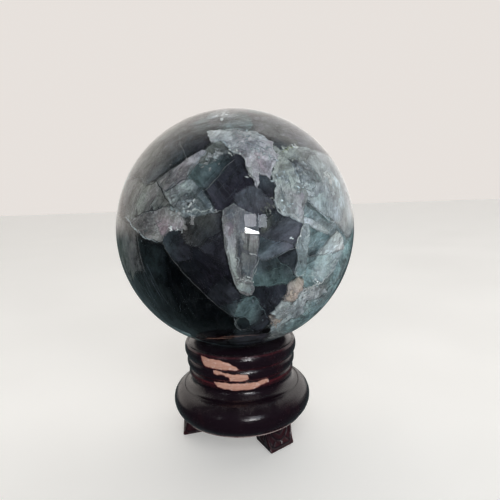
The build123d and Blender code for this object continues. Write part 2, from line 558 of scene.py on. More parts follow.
# Zones of the ball's front by kind. A row is: tone, light, depth as a share of the radius, raggedness, light
# on the edge, softness of the edge in millimetres, lay of the streaks in degrees, and corners as azimuth and
# elevation in degrees.
DEPTHS = [
    (("deep_teal", "abyss", 0), 0.9, 0.915, 0.03, 0.0, 2.5, 75, [(-46, 5), (-38, 1.5), (-30, 0.3),
        (-24, -5), (-20, -15), (-18, -30), (-16, -42), (-25, -54), (-48, -52), (-60, -36), (-60, -22),
        (-50, -13), (-43, -10)]),
    ("abyss", 0.38, 0.925, 0.02, 0.0, 2.0, 65, [(-29, -1), (-25, -7.5), (-21, -12), (-18, -16.5),
        (-14, -20.5), (-11.5, -24), (-9, -26.5), (-6, -29.5), (-3.5, -32.5), (-2, -36), (-1, -42),
        (-2, -50), (-15, -54), (-26, -50), (-29, -40), (-30, -30), (-31, -15)]),
    (("slate", "deep_teal", 0), 0.9, 0.93, 0.04, 0.0, 2.5, 80, [(-60, -14), (-50, -12), (-46, -20),
        (-44, -36), (-50, -50), (-66, -50), (-72, -30), (-68, -18)]),
    (("moss", "smoke", 0), 0.8, 0.93, 0.03, 0.2, 1.5, 70, [(-44, 6), (-55, 9), (-68, 12), (-74, -4),
        (-68, -22), (-58, -20), (-50, -15), (-42.5, -13), (-44, -5)]),
    (("moss", "smoke", 0), 0.95, 0.925, 0.03, 0.1, 2.0, 48, [(-36, 24), (-24, 34), (-28, 50), (-38, 60),
        (-56, 56), (-70, 40), (-70, 24), (-58, 24), (-53, 28), (-45, 21), (-41, 22)]),
    (("slate", "smoke", 180), 0.95, 0.935, 0.02, 0.2, 1.2, 48, [(-35, 24.5), (-22, 33.5), (-23, 41),
        (-26, 50), (-34, 50), (-40, 42), (-43, 34), (-44, 26), (-41, 22)]),
    (("slate", "navy", 0), 0.68, 0.945, 0.02, 0.3, 0.5, 52, [(-24, 33), (-15, 37), (-10.5, 41), (-12, 43),
        (-14.5, 45.5), (-20, 46.5), (-27, 46), (-27, 40)]),
    (("smoke", "navy", -40), 0.45, 0.945, 0.03, 0.0, 2.2, 60, [(-21, 9.5), (-16, 11.5), (-9, 12.2),
        (-4, 12), (-4, 5), (-4, 0), (-9, -1), (-14.5, -3), (-20, -1), (-22, 5)]),
    (("plum", "navy", 120), 0.7, 0.94, 0.02, 0.1, 1.2, 60, [(-3.6, 8), (-3.4, -6), (-2, -12), (-0.5, -17),
        (0.5, -20.5), (-5, -12.5), (-10, -6.5), (-15, -2.5), (-10, 3)]),
    (("slate", "teal", 150), 0.58, 0.945, 0.02, 0.2, 0.8, 130, [(-16, 34), (-10, 33), (-7, 34.5),
        (-3, 34.5), (0, 32), (-3, 27), (-6.5, 23.5), (-11, 19), (-15, 20.4), (-19, 23), (-22, 23.5),
        (-20, 28)]),
    (("navy", "plum", -30), 1.08, 0.94, 0.02, 0.2, 0.4, 128, [(0, 36), (3, 36), (6.5, 32), (6.5, 26),
        (8, 22), (7, 19.5), (2, 17), (-0.5, 15), (-4, 11.6), (-7.3, 10.4), (-9.8, 17), (-11.5, 19.3),
        (-7, 24), (-3, 30)]),
    (("slate", "navy", -60), 0.7, 0.944, 0.03, 0.2, 0.6, 110, [(9, 27), (13, 25.5), (15.5, 24), (18, 19.5),
        (17, 17), (15.6, 14), (13, 13.5), (9.4, 18), (9.2, 20.5)]),
    (("violet", "navy", -90), 0.92, 0.95, 0.04, 0.2, 0.8, 100, [(-1, 16.5), (2, 18.8), (5, 20.6),
        (8.8, 20.6), (10.4, 19.4), (12.5, 16.4), (15.5, 14.6), (16, 11), (12, 10.5), (9.5, 8), (4, 7),
        (1, 9.5), (0, 14)]),
    (("navy", "violet", 30), 0.9, 0.942, 0.03, 0.0, 1.6, 30, [(7.6, 10.5), (12, 13.4), (16, 13.4),
        (19, 10.2), (22.5, 9.6), (25.5, 7.4), (28.2, 5.4), (26.5, 0.5), (24, -4), (18, -2.6), (12, -1.8),
        (7, 0.4), (7, 5)]),
    (("moss", "slate", 20), 0.55, 0.948, 0.08, 0.0, 1.6, 60, [(8, 10.5), (10.5, 11.4), (14, 12), (18, 9),
        (16, 5), (12, 2.5), (8.6, 1)]),
    (("violet", "slate", 180), 1.08, 0.946, 0.04, 0.3, 1.0, 30, [(7, 3), (12, 0.6), (18, -0.4), (23, -2.2),
        (22, -5), (17, -5.8), (14, -7), (10, -8.4), (6.6, -7)]),
    (("navy", "slate", -60), 0.6, 0.95, 0.03, 0.3, 0.5, 55, [(15, -7), (18, -5.2), (20, -4.3), (23.5, -3.6),
        (25.4, -6.5), (25, -12), (24.2, -16.4), (21.5, -12.5), (19.5, -10.5), (16.5, -9)]),
    (("teal", "slate", 60), 0.58, 0.94, 0.05, 0.2, 0.9, 100, [(6.6, -6), (15, -6), (17, -8), (20, -9.4),
        (22.5, -11.4), (25, -16), (21.5, -19), (18, -18.5), (14, -19), (10, -18.5), (5.6, -19), (4.6, -15),
        (5, -11)]),
    (("night", "navy", 0), 0.95, 0.935, 0.04, 0.1, 0.8, 110, [(4.5, -17), (10, -16.6), (14, -17),
        (18, -16.6), (22, -17), (23.6, -20), (21, -22.5), (20, -25), (20.4, -28), (19, -31), (15.8, -32.5),
        (14, -36.5), (11, -33), (8, -29), (4.5, -24)]),
    (("navy", "slate", 140), 0.56, 0.941, 0.03, 0.1, 0.9, 130, [(-30, 0.2), (-29.4, 4.5), (-26, 6),
        (-22, 5.5), (-18, 4), (-16, 0), (-16.5, -7), (-25, -8.4), (-28, -3.7)]),
    (("night", "plum", -20), 0.42, 0.936, 0.02, 0.1, 1.4, 128, [(-19.5, -4), (-18.6, 1), (-14.5, 0),
        (-10.5, -3.7), (-7, -8), (-3.6, -12.8), (-9, -17.5), (-13, -21.6), (-18, -17), (-21, -12.4),
        (-26, -8.6)]),
    (("night", "navy", -30), 0.52, 0.93, 0.02, 0.1, 1.2, 125, [(-6.5, -10.5), (-1.8, -16), (1.4, -20.5),
        (1.6, -25), (-5, -26.5), (-9.7, -27.3), (-14.7, -21), (-11, -14.5)]),
    (("slate", "deep_teal", 180), 1.12, 0.928, 0.06, 0.1, 1.4, 120, [(2, -22.5), (3, -27), (0, -34),
        (-4, -33), (-6.5, -30.2), (-9.5, -27), (-5, -24)]),
    (("teal", "navy", -30), 0.58, 0.935, 0.07, 0.1, 1.2, 60, [(-3.6, -32.6), (-1, -25), (2.6, -22),
        (7, -21.4), (10.5, -27), (13, -30.5), (15.5, -34.5), (16.5, -39), (13, -44), (7, -43), (4, -39),
        (3, -35), (0, -35)]),
    (("night", "deep_teal", 90), 0.55, 0.955, 0.01, 0.5, 0.25, 20, [(0, -33.4), (3, -33.2), (5, -35.5),
        (5.6, -39), (3.6, -42), (0.5, -42), (-1.4, -39.5), (-2.2, -36)]),
    (("deep_teal", "navy", 0), 0.85, 0.925, 0.04, 0.1, 1.6, 5, [(-3, -41), (0.5, -40.6), (3.6, -40.8),
        (6, -38.4), (8.5, -38.6), (13, -42), (16, -44), (19.5, -47.5), (20, -58), (5, -62), (-12, -60),
        (-10, -48)]),
    ("abyss", 0.15, 0.976, 0.02, 0.4, 0.2, 5, [(15.6, -41), (18.8, -44.3), (18.6, -48.3), (13, -46.4)]),
    (("smoke", "violet", 40), 1.0, 0.94, 0.03, 0.0, 1.6, 20, [(12, 46), (21, 42), (31, 38), (44, 36),
        (60, 36), (68, 42), (62, 54), (40, 60), (20, 60), (12, 54)]),
    (("slate", "smoke", 90), 0.76, 0.945, 0.06, 0.2, 0.5, 20, [(20.8, 42.5), (25, 43.5), (31, 44),
        (38, 41.5), (36, 38), (30.5, 37), (26, 35.4), (22, 36.6)]),
]
CLOUDS = [
    (("frost", "teal", -90), 0.95, 0.928, 0.03, 0.0, 2.0, 60, [(14, 26), (22, 36), (34, 36), (50, 38),
        (66, 34), (70, 16), (68, -4), (62, -24), (52, -30), (40, -32), (26, -28), (24, -14), (24, 0),
        (17, 8), (14, 16)]),
    (("rose", "teal", 20), 0.74, 0.935, 0.05, 0.3, 2.0, 12, [(-30, 50), (-20, 49.5), (-5, 48.6), (5, 47.4),
        (13, 48.5), (17, 52), (14, 58), (4, 62), (-12, 63), (-28, 62), (-40, 58)]),
    (("rose", "lavender", 0), 0.95, 0.968, 0.03, 0.9, 0.25, 50, [(-35, 24.5), (-26, 30), (-20, 34.5),
        (-15, 37.2), (-12.4, 36.4), (-15, 33), (-17.5, 29.5), (-19.5, 26), (-21, 23), (-25.5, 21),
        (-30, 19), (-33, 21.5)]),
    (("celadon", "slate", 15), 1.04, 0.96, 0.06, 0.4, 0.7, 45, [(-32.5, 22), (-30, 20), (-25.5, 22.3),
        (-22, 24.2), (-18.6, 24.4), (-13.6, 20.6), (-10.6, 16.6), (-6.6, 11.4), (-13, 9.6), (-20, 8.4),
        (-25, 12.8), (-29, 15.2)]),
    (("frost", "slate", -20), 0.85, 0.963, 0.08, 0.3, 1.2, 65, [(-26, 21.5), (-20, 20), (-13, 13.6),
        (-8.5, 11.2), (-14, 9), (-19.6, 9.6), (-24, 13), (-28, 17)]),
    (("moss", "smoke", 0), 1.2, 0.955, 0.05, 0.3, 0.7, 60, [(-42, 22), (-35, 25), (-31, 20.5), (-34, 15),
        (-37, 10), (-43.4, 9.4), (-46, 14)]),
    (("smoke", "moss", -120), 1.15, 0.965, 0.04, 0.6, 0.25, 40, [(-31.5, 20.8), (-30, 19.8), (-26.2, 15),
        (-30, 12.6), (-34, 10.4), (-36.6, 14)]),
    (("rose", "smoke", 160), 1.0, 0.97, 0.07, 1.1, 0.2, 10, [(-46, 9), (-43, 10.4), (-38, 11.4),
        (-34, 11.9), (-29, 13.8), (-24, 12.8), (-20, 9), (-18.6, 4.6), (-26, 4.4), (-29, 3), (-30, 0.3),
        (-35, 0.8), (-40, 1.8), (-45, 4.6), (-50, 7)]),
    (("blush", "rose", 90), 0.82, 0.975, 0.05, 0.3, 0.8, 70, [(-33.6, 8), (-32, 12), (-27, 13.4),
        (-22.6, 11.6), (-19.6, 7.6), (-21, 4.6), (-26.4, 4), (-29.6, 2), (-31, 4)]),
    (("moss", "smoke", 180), 0.9, 0.95, 0.04, 0.4, 0.6, 70, [(-55.4, 9.2), (-50, 7), (-46, 9), (-44.4, 14),
        (-40.4, 22.6), (-50, 26), (-58, 25.6), (-61, 18)]),
    (("moss", "slate", -60), 0.95, 0.96, 0.06, 0.3, 0.8, 150, [(-13.5, 37.4), (-10, 41), (-6, 41.8),
        (-3, 40), (-1, 37), (1, 34.4), (-3, 31.6), (-7, 31.6), (-10, 30.1), (-14, 29.2), (-17, 33)]),
    (("teal", "ice", 60), 0.7, 0.962, 0.1, 0.2, 1.0, 150, [(-14.5, 33.6), (-11, 34.6), (-7.6, 36.8),
        (-4.4, 38), (-2.4, 36.2), (-6, 33.4), (-10, 30.6), (-14, 28.6), (-16.4, 30)]),
    (("teal", "slate", -90), 1.25, 0.95, 0.02, 0.4, 0.25, 30, [(29.5, 5), (35, 2.2), (40, 0.7),
        (41.5, -1.7), (37, -5), (34, -8), (29.5, -8.2), (28, -7), (29, -1)]),
    # The next three teal zones, at the lower right edge of the front, are painted paler: painted light from
    # behind that comes through the ball's thin edge.
    (("teal", "smoke", 180), 1.2, 0.935, 0.05, 0.2, 1.6, 160, [(31, -30), (34, -27), (40, -27.5),
        (46, -26.5), (50, -21), (60, -16), (70, -26), (64, -46), (48, -60), (32, -62), (20, -57), (18, -47),
        (22, -41), (27, -37)]),
    (("teal", "frost", 120), 1.05, 0.95, 0.06, 0.3, 1.2, 150, [(33, -31), (34, -28.4), (40, -29), (47, -28),
        (54, -24), (56, -34), (46, -46), (34, -50), (25, -48), (25, -41), (28.6, -38), (33.4, -38),
        (36.4, -35)]),
    (("teal", "smoke", -90), 1.3, 0.945, 0.04, 0.2, 0.8, 140, [(38, -19), (47, -14), (51, -6), (62, -2),
        (68, -14), (60, -22), (50, -24), (45, -27), (36, -25)]),
]
VEILS = [
    (("ice", "snow", 30), 0.68, 0.95, 0.05, 0.2, 1.4, 75, [(34.5, 31.4), (40, 34.5), (45, 35.5), (52, 37),
        (66, 34), (70, 18), (68, 0), (56, -4), (48, 2), (42, 4), (44, 14), (40, 24)]),
    (("snow", "frost", 200), 1.0, 0.958, 0.05, 0.4, 0.8, 65, [(29.5, 18), (33, 17), (38, 17.6), (41, 20.6),
        (46, 24.6), (53, 27.5), (58, 22), (57, 11), (51, 4.4), (44, 4.4), (38, 7.4), (33, 10.8),
        (29.4, 14)]),
    (("ice", "lavender", -60), 1.1, 0.97, 0.08, 1.0, 0.1, 25, [(-15.4, 47.5), (-14, 45), (-10.5, 41),
        (-6, 41.5), (-2, 37.5), (0, 34.7), (3, 35), (9, 37), (15, 38), (21, 39.5), (15, 46), (5, 47),
        (-5, 48)]),
    ("lavender", 0.9, 0.974, 0.08, 1.0, 0.1, 70, [(0, 34.9), (3, 34.4), (5, 32), (5.3, 29), (6, 27),
        (7.2, 25), (8.2, 22.5), (9.1, 19.4), (10.2, 22), (10.5, 25.6), (15, 22.7), (15.8, 25), (18, 28.5),
        (20, 31), (22, 33.5), (20, 36), (21.5, 40.5), (14, 42), (8, 41), (2, 38)]),
    (("blush", "lavender", 0), 0.95, 0.978, 0.06, 0.1, 1.4, 80, [(9, 35.4), (13, 36.6), (18, 35),
        (19.6, 31), (16.8, 27.4), (14.4, 24.4), (11.4, 26), (9.6, 30)]),
    (("celadon", "ice", -70), 0.92, 0.974, 0.07, 1.0, 0.12, 55, [(15.6, 25), (17, 20), (16, 17), (15, 14.8),
        (16, 11.5), (18.5, 8.8), (21, 8.5), (24, 6.5), (27, 5), (27.5, 9), (28.6, 12.8), (30.5, 15),
        (30.5, 19), (28.5, 22), (27, 26), (27, 30), (25, 32), (22, 34), (19.6, 31), (17.6, 28.5)]),
    (("ice", "lavender", 0), 0.88, 0.978, 0.1, 0.4, 0.7, 100, [(16.6, 17), (20, 18), (25, 17), (29, 18.6),
        (30, 15), (27.6, 11), (26, 7), (21.6, 9.4), (18.6, 9.8), (16.4, 12.4)]),
    (("frost", "violet", 60), 1.2, 0.964, 0.08, 0.4, 0.5, 120, [(25.6, 30), (30, 31), (34, 30), (37, 27),
        (39, 24), (40.4, 20.4), (38, 17.8), (33, 17.4), (29.8, 18.6), (27.6, 22), (26, 26)]),
    (("ice", "frost", -40), 1.0, 0.972, 0.14, 0.5, 0.4, 50, [(30, 20.6), (32, 22), (35.6, 20.4),
        (39.6, 21.6), (41.6, 18.6), (37, 16.4), (32, 15.6), (29, 17.4)]),
    (("frost", "ice", 60), 0.95, 0.971, 0.14, 0.4, 0.3, 140, [(31, 29.6), (34, 26.4), (34.6, 23.4),
        (37, 25), (38.6, 26.4), (36, 29.4), (33.6, 31)]),
    (("celadon", "frost", -50), 0.78, 0.97, 0.08, 0.5, 0.4, 20, [(21.6, 33.5), (25, 31.2), (30, 31),
        (35, 30.4), (40, 33.4), (48, 34.5), (44, 38), (36, 38.4), (32, 37.5), (27, 36.2), (23.5, 36.2),
        (21, 39), (19, 36.5)]),
    (("teal", "frost", 20), 0.85, 0.97, 0.03, 0.4, 0.25, 25, [(28.2, 13.2), (30, 11.4), (35, 8), (39, 5.2),
        (45, 3.6), (40, 1.2), (36, 3.8), (31, 6.6), (27.2, 7.8)]),
    (("snow", "ice", 0), 0.85, 0.965, 0.03, 0.6, 0.3, 30, [(27.2, 8.2), (31, 7), (36, 4.7), (40.2, 2.2),
        (39.6, -0.2), (35, 1.2), (31, 3.2), (29, 4.4), (26.8, 4.8)]),
    (("frost", "teal", -60), 0.72, 0.97, 0.05, 0.6, 0.35, 90, [(26.8, 5.2), (29.8, 4.8), (29.8, -1),
        (28.8, -7.2), (28.8, -14), (27.4, -15.8), (24.5, -16.4), (23.6, -14.5), (24, -10), (24.4, -6.5),
        (23.2, -3.5), (22.8, -2.7), (24.8, 0.5)]),
    (("snow", "white", 0), 0.88, 0.965, 0.03, 0.5, 0.25, 20, [(33.6, -7.2), (37, -4.2), (41, -1.4), (46, 1),
        (51, -2), (54, -7.5), (45, -8.4), (38, -8.4)]),
    (("frost", "teal", 160), 1.1, 0.96, 0.04, 0.7, 0.25, 150, [(28.3, -11.5), (33, -9.8), (34, -7.8),
        (38, -7.8), (45, -7.8), (53, -7.5), (51, -11), (47.5, -15), (42, -19), (39.5, -20.5), (35, -21.4),
        (32, -22.4), (28.2, -20.4), (27.2, -16)]),
    (("frost", "ice", 40), 1.0, 0.958, 0.1, 0.5, 0.4, 110, [(18.6, -28), (20.3, -26.4), (23.5, -26.6),
        (25.5, -28.1), (26.8, -26.4), (28, -22.8), (32, -21.9), (38, -22.6), (46, -24.6), (48, -27.5),
        (40, -29), (34, -28.6), (33.4, -31.4), (36.4, -35), (33, -38.5), (28, -38.6), (24.4, -41.5),
        (22.6, -45.5), (19, -48), (16.8, -43.5), (18.2, -40), (19.6, -37.5), (17.6, -34.2), (14.8, -32.7),
        (17.2, -30.7)]),
    (("tan", "rose", -90), 1.0, 0.965, 0.12, 0.3, 0.6, 60, [(15, -34), (18, -36), (21, -37), (24, -35),
        (22, -39.5), (19, -42), (17.6, -39.6)]),
    (("snow", "ice", 0), 0.86, 0.952, 0.08, 0.4, 1.0, 8, [(-22, 57), (-12, 58.5), (0, 58), (4, 61),
        (-3, 65.5), (-14, 65), (-24, 62)]),
]
CRYSTALS = [
    (("violet", "smoke", 200), 1.0, 0.965, 0.03, 0.7, 0.25, 95, [(-4.8, 11.7), (-0.5, 14.2), (2.4, 12),
        (5, 10.6), (8.6, 9), (8.4, 2), (8.4, -2), (7.6, -6), (5.6, -14), (6.6, -19.5), (5.6, -22),
        (3.5, -22.3), (0.6, -20.8), (-1.2, -17), (-3.4, -7), (-5, 5)]),
    (("lavender", "celadon", -85), 0.95, 0.972, 0.05, 0.3, 0.9, 95, [(-4.8, 7), (-1.4, 8), (0.2, 4),
        (0.2, -2), (0.2, -8), (1, -14), (-1, -16.8), (-3.2, -7), (-4.9, 3)]),
    (("slate", "violet", -60), 0.95, 0.976, 0.05, 0.1, 1.2, 95, [(-4.6, 11.4), (-1, 13.4), (1, 11),
        (0.2, 8.6), (-2.2, 7.2), (-4.6, 8.8)]),
    (("blush", "violet", 60), 0.85, 0.976, 0.08, 0.2, 0.9, 75, [(-3.8, 7.2), (-1.2, 7.8), (0, 5.6),
        (-0.6, 2.6), (-2, 1.2), (-3.8, 3)]),
    (("rose", "smoke", -70), 1.0, 0.976, 0.05, 0.3, 0.5, 85, [(1.4, 3.6), (5, 4), (8, 2), (8.3, -2),
        (7.4, -5.6), (4.8, -4.6), (2.2, -3.4)]),
    (("smoke", "slate", -90), 0.95, 0.976, 0.06, 0.3, 0.6, 85, [(1.8, -3.6), (4.8, -5), (7.4, -6),
        (6.4, -10), (5, -14.6), (2.6, -15), (1.6, -9)]),
    (("navy", "slate", -90), 1.0, 0.979, 0.04, 0.1, 0.45, 88, [(0.4, 1), (1.4, 1.2), (1.8, -4), (2.4, -12),
        (1.8, -15), (0.9, -12), (0.6, -6)]),
    (("celadon", "frost", -60), 0.72, 0.981, 0.12, 0.4, 0.5, 60, [(0.4, -15.6), (2.4, -16.4), (5.2, -16.6),
        (6.2, -20), (4.8, -21.8), (2.8, -21.2), (0.8, -19.6), (-0.6, -17)]),
    (("tan", "rose", 180), 1.12, 0.975, 0.12, 0.3, 0.3, 130, [(21.2, -18.5), (23, -17.2), (26, -15.2),
        (28.2, -17), (29.2, -20), (27.8, -23.5), (27.2, -26.6), (25.5, -28.8), (23.5, -27.2), (20.4, -27),
        (19, -25), (21, -22)]),
    ("tan", 1.1, 0.981, 0.14, 0.2, 1.3, 130, [(20.4, -24), (23, -22.4), (25.6, -23), (26, -26), (24.4, -28),
        (22, -26.8), (20, -26)]),
]

# Thin lines: width in millimetres, tone, light, depth, raggedness, and points along them in degrees
VEINS = [
    (0.3, "frost", 0.75, 0.962, 0.02, [(-34.6, 48), (-29, 41), (-22, 33.4)]),
    (0.16, "smoke", 0.9, 0.962, 0.03, [(-30, 46), (-26, 41), (-20, 36)]),
    (0.16, "smoke", 0.9, 0.962, 0.03, [(-40, 44), (-33, 36), (-29, 31)]),
    (0.45, "snow", 0.85, 0.972, 0.07, [(-20, 26), (-18.5, 29.5), (-16, 33), (-12.6, 36)]),
    (0.26, "ice", 0.7, 0.965, 0.02, [(-11.5, 19.5), (-7, 24), (-4, 28), (1, 32)]),
    (0.14, "teal", 0.7, 0.962, 0.02, [(-12.5, 21.5), (-8.5, 25.5), (-6, 29), (-4, 32)]),
    (0.14, "violet", 0.9, 0.962, 0.02, [(-8, 17), (-3, 22.5), (1, 27), (3.4, 31)]),
    (0.12, "slate", 1.2, 0.962, 0.02, [(-5, 13.5), (0, 18.5), (3, 23)]),
    (0.14, "violet", 0.9, 0.962, 0.02, [(-7, 24), (-4, 20), (-1, 16)]),
    (0.45, "snow", 0.9, 0.983, 0.05, [(15, 14.8), (16, 11.5), (18.5, 8.8), (21, 8.5), (24, 6.5), (27, 5)]),
    (0.55, "snow", 0.95, 0.983, 0.06, [(30, 14), (35, 9.5), (40, 6), (44, 4.5), (50, 4.5)]),
    (0.5, "white", 0.8, 0.984, 0.08, [(27, 5), (25.3, 0.5), (23.3, -2.5)]),
    (0.4, "snow", 0.9, 0.984, 0.08, [(23.6, -3.6), (24.6, -7), (24.2, -11), (23.8, -15)]),
    (0.55, "white", 0.75, 0.983, 0.12, [(48, -14.6), (42, -18.8), (35, -21.3), (32, -22.3), (28, -20.4)]),
    (0.3, "night", 1.2, 0.98, 0.05, [(-41, 22), (-35.4, 24.2), (-31.2, 20.2), (-27, 15.4), (-24.4, 12.8)]),
    (0.26, "navy", 1.0, 0.98, 0.05, [(-46, 9.6), (-42, 10.6), (-34, 12), (-29.4, 14)]),
    (0.24, "navy", 1.0, 0.98, 0.05, [(-36, 14.4), (-34.2, 10.8)]),
    (0.3, "navy", 1.1, 0.984, 0.04, [(-32.6, 21.6), (-29, 19.4), (-25.4, 21.4), (-21.6, 24), (-19, 24)]),
    (0.24, "slate", 1.2, 0.984, 0.06, [(-24, 13), (-22, 17), (-17, 18.6), (-12.4, 14.8), (-9, 12)]),
    (0.55, "snow", 0.95, 0.983, 0.08, [(-55, 9), (-45, 4.6), (-40, 1.8), (-35, 0.8), (-30, 0.3)]),
    (0.3, "ice", 0.9, 0.98, 0.1, [(-30, 0.3), (-29, 3), (-26, 5), (-20, 5.2)]),
    (0.22, "smoke", 0.55, 0.95, 0.02, [(-29.5, 0), (-25, -7.5), (-18, -16.5), (-11.5, -24), (-4, -32)]),
    (0.2, "slate", 0.9, 0.955, 0.05, [(-27, -26), (-29, -31)]),
    (0.3, "ice", 0.9, 0.984, 0.08, [(7.8, -6), (6.8, -10), (5.8, -14), (5.2, -15.6)]),
    (0.34, "white", 0.8, 0.984, 0.06, [(4.6, -4.6), (6, -5), (7.4, -5.8)]),
    (0.26, "ice", 0.8, 0.984, 0.1, [(0.2, -2), (0.4, -8), (1.2, -14.4)]),
    (0.2, "ice", 0.8, 0.984, 0.06, [(4.4, -8), (4.2, -11), (3.6, -15)]),
    (0.26, "frost", 0.8, 0.968, 0.04, [(-2.5, -33), (-2.4, -37), (-1.4, -40.5), (0.6, -42.6)]),
    (0.24, "teal", 0.9, 0.968, 0.05, [(0, -33.3), (3, -33), (5.2, -35.5), (5.8, -39)]),
    (0.24, "smoke", 1.1, 0.95, 0.04, [(-44, 4), (-43.4, -4), (-42, -13)]),
    (0.22, "lime", 0.9, 0.985, 0.14, [(24, 35), (28, 36), (32, 37.6), (36, 38.5)]),
    (0.4, "white", 0.8, 0.985, 0.12, [(42, 22), (46, 24), (52, 28)]),
    (0.2, "ice", 0.9, 0.975, 0.04, [(28.6, -8), (34, -8), (45, -8), (51, -7.4)]),
    (0.3, "snow", 0.9, 0.978, 0.04, [(29.6, 4.6), (35, 1.8), (40, 0.4)]),
    (0.24, "ice", 0.9, 0.976, 0.04, [(30, -8), (34, -7.6), (37.4, -4.6), (41.4, -1.6), (46, 0.6)]),
    (0.3, "frost", 0.8, 0.97, 0.06, [(-46, 9), (-43, 10), (-38, 11), (-34, 11.5), (-29, 13.5), (-24, 12)]),
    (0.26, "frost", 0.8, 0.972, 0.06, [(-35, 24.5), (-31.5, 20.5), (-30, 19.5), (-25.5, 22)]),
    (0.3, "snow", 0.95, 0.985, 0.05, [(-12, 42.6), (-6, 41.5), (-2, 37.5), (0.4, 34.9), (3, 34.6)]),
    (0.28, "ice", 0.95, 0.985, 0.06, [(5.3, 31), (6, 27), (8.5, 23.5), (9, 20)]),
    (0.16, "violet", 1.1, 0.955, 0.05, [(9, 2), (12, 0), (18, -1), (23, -2.7)]),
    (0.22, "frost", 0.75, 0.96, 0.04, [(15, -7), (18, -5.3), (20, -4.5), (23.5, -4)]),
    (0.18, "teal", 0.8, 0.96, 0.04, [(15, -7), (16.5, -9), (19.5, -10.5), (21.5, -12.5), (23.5, -15.8)]),
    (0.2, "teal", 0.8, 0.95, 0.06, [(5, -18), (10, -17.4), (14, -18), (18, -17.4), (21.5, -18.5)]),
    (0.22, "teal", 0.8, 0.95, 0.06, [(0.5, -24), (6.5, -22.6), (9, -27), (12, -31), (14, -35)]),
    (0.22, "frost", 0.9, 0.96, 0.06, [(-10, 49), (-4, 53), (2, 56), (5, 60)]),
    (0.24, "frost", 0.9, 0.96, 0.05, [(-60, 27), (-52, 25.6), (-46, 25.6), (-42, 22)]),
    (0.26, "white", 0.7, 0.985, 0.1, [(-20, 11.4), (-14, 12), (-9, 11.5), (-5, 11.4)]),
    (0.26, "ice", 0.9, 0.985, 0.06, [(30, 19.5), (33, 17.4), (36, 19), (38, 22)]),
    (0.22, "snow", 0.9, 0.985, 0.06, [(31, 28), (33.4, 24.6), (35.6, 27)]),
]

# Clusters of small flakes: middle azimuth and elevation, reach in degrees, count, size in millimetres, tone,
# light
CLUSTERS = [
    (14, 36, 6, 30, 0.6, "snow", 0.85),
    (6, 42, 7, 26, 0.6, "snow", 0.8),
    (0, 36.5, 3, 18, 0.5, "white", 0.8),
    (6.6, 27, 2, 12, 0.45, "white", 0.75),
    (21, 24, 4, 26, 0.8, "snow", 0.9),
    (21, 12, 3, 20, 0.8, "snow", 1.0),
    (34, 26, 5, 18, 0.9, "ice", 0.9),
    (29, 20, 4, 18, 0.6, "snow", 0.9),
    (34, 18, 3, 12, 0.6, "snow", 1.0),
    (29, 36, 5, 26, 0.8, "celadon", 1.15),
    (34, 38.4, 1.6, 12, 0.6, "white", 0.95),
    (48, 24, 4, 26, 0.9, "white", 0.8),
    (46, 14, 7, 26, 1.1, "snow", 0.9),
    (24.5, -24, 3, 16, 0.7, "tan", 1.35),
    (24, -33, 5, 60, 0.7, "ice", 0.95),
    (33, -25, 6, 34, 0.8, "ice", 0.95),
    (20, -40, 3, 22, 0.6, "tan", 1.1),
    (42, -36, 8, 20, 1.1, "teal", 1.1),
    (2, -15, 2.4, 34, 0.45, "white", 0.7),
    (5, -14, 2.0, 10, 0.4, "white", 0.8),
    (-25.4, 5.3, 1.1, 9, 0.5, "white", 1.05),
    (-22.6, 5.0, 1.0, 6, 0.4, "white", 1.0),
    (-20.4, 4.8, 0.6, 3, 0.35, "white", 0.9),
    (-38, 6, 5, 18, 0.8, "rose", 1.25),
    (-20, 15, 5, 22, 0.8, "frost", 0.9),
    (-18, 13, 3, 14, 0.6, "white", 0.7),
    (-8, 11.6, 1.2, 6, 0.5, "ice", 0.9),
    (-24, 26, 5, 14, 0.8, "rose", 1.25),
    (-11, 33, 4, 34, 0.7, "ice", 0.7),
    (24, -3.4, 1.3, 6, 0.35, "white", 0.9),
    (21.6, 0, 0.6, 4, 0.5, "white", 0.95),
    (36, -20.4, 2.4, 10, 0.6, "white", 0.85),
    (-8, 62, 5, 26, 1.0, "white", 0.8),
    (10, -29, 5, 10, 0.6, "slate", 1.5),
    (-40, -1.5, 1.6, 4, 0.35, "frost", 0.5),
    (12, 11, 3, 22, 0.6, "moss", 0.8),
]

# Fields of fine straight lines along the cleavage: middle azimuth and elevation, reach in degrees, count,
# direction and length in degrees, tone, light
CLEAVAGE = [
    (-34, 38, 7, 16, -50, 13, "smoke", 0.85),
    (-20, 40, 4, 8, -50, 8, "slate", 1.0),
    (-2, 24, 5, 9, 48, 9, "slate", 0.9),
    (1, 25, 4, 7, -46, 7, "violet", 0.7),
    (-26, -26, 7, 12, 98, 14, "deep_teal", 0.9),
    (-42, -20, 7, 14, 104, 12, "slate", 0.7),
    (-13, -14, 5, 10, -50, 8, "navy", 0.8),
    (-15, 5, 4, 8, -35, 6, "smoke", 0.7),
    (15, 3, 5, 10, 22, 6, "violet", 0.8),
    (15, -13, 4, 8, 8, 6, "teal", 0.7),
    (14, -24, 3, 6, 70, 6, "slate", 0.8),
    (42, -38, 8, 16, 140, 10, "frost", 0.8),
    (46, 16, 8, 16, 62, 7, "snow", 0.85),
    (45, -12, 5, 10, 30, 6, "snow", 0.9),
    (2, 0, 3, 10, 86, 8, "ice", 0.7),
    (8, 42, 7, 14, 158, 5, "snow", 0.85),
    (22, 20, 4, 10, 100, 5, "snow", 0.8),
    (-28, 24, 5, 12, 40, 6, "frost", 0.7),
    (-22, 16, 5, 14, -30, 4, "ice", 0.7),
    (-36, 8, 5, 12, 20, 5, "frost", 0.8),
    (-50, 16, 5, 10, 75, 8, "smoke", 0.9),
    (5, 53, 9, 12, 10, 8, "frost", 0.7),
    (35, 46, 9, 12, -20, 8, "smoke", 1.1),
]

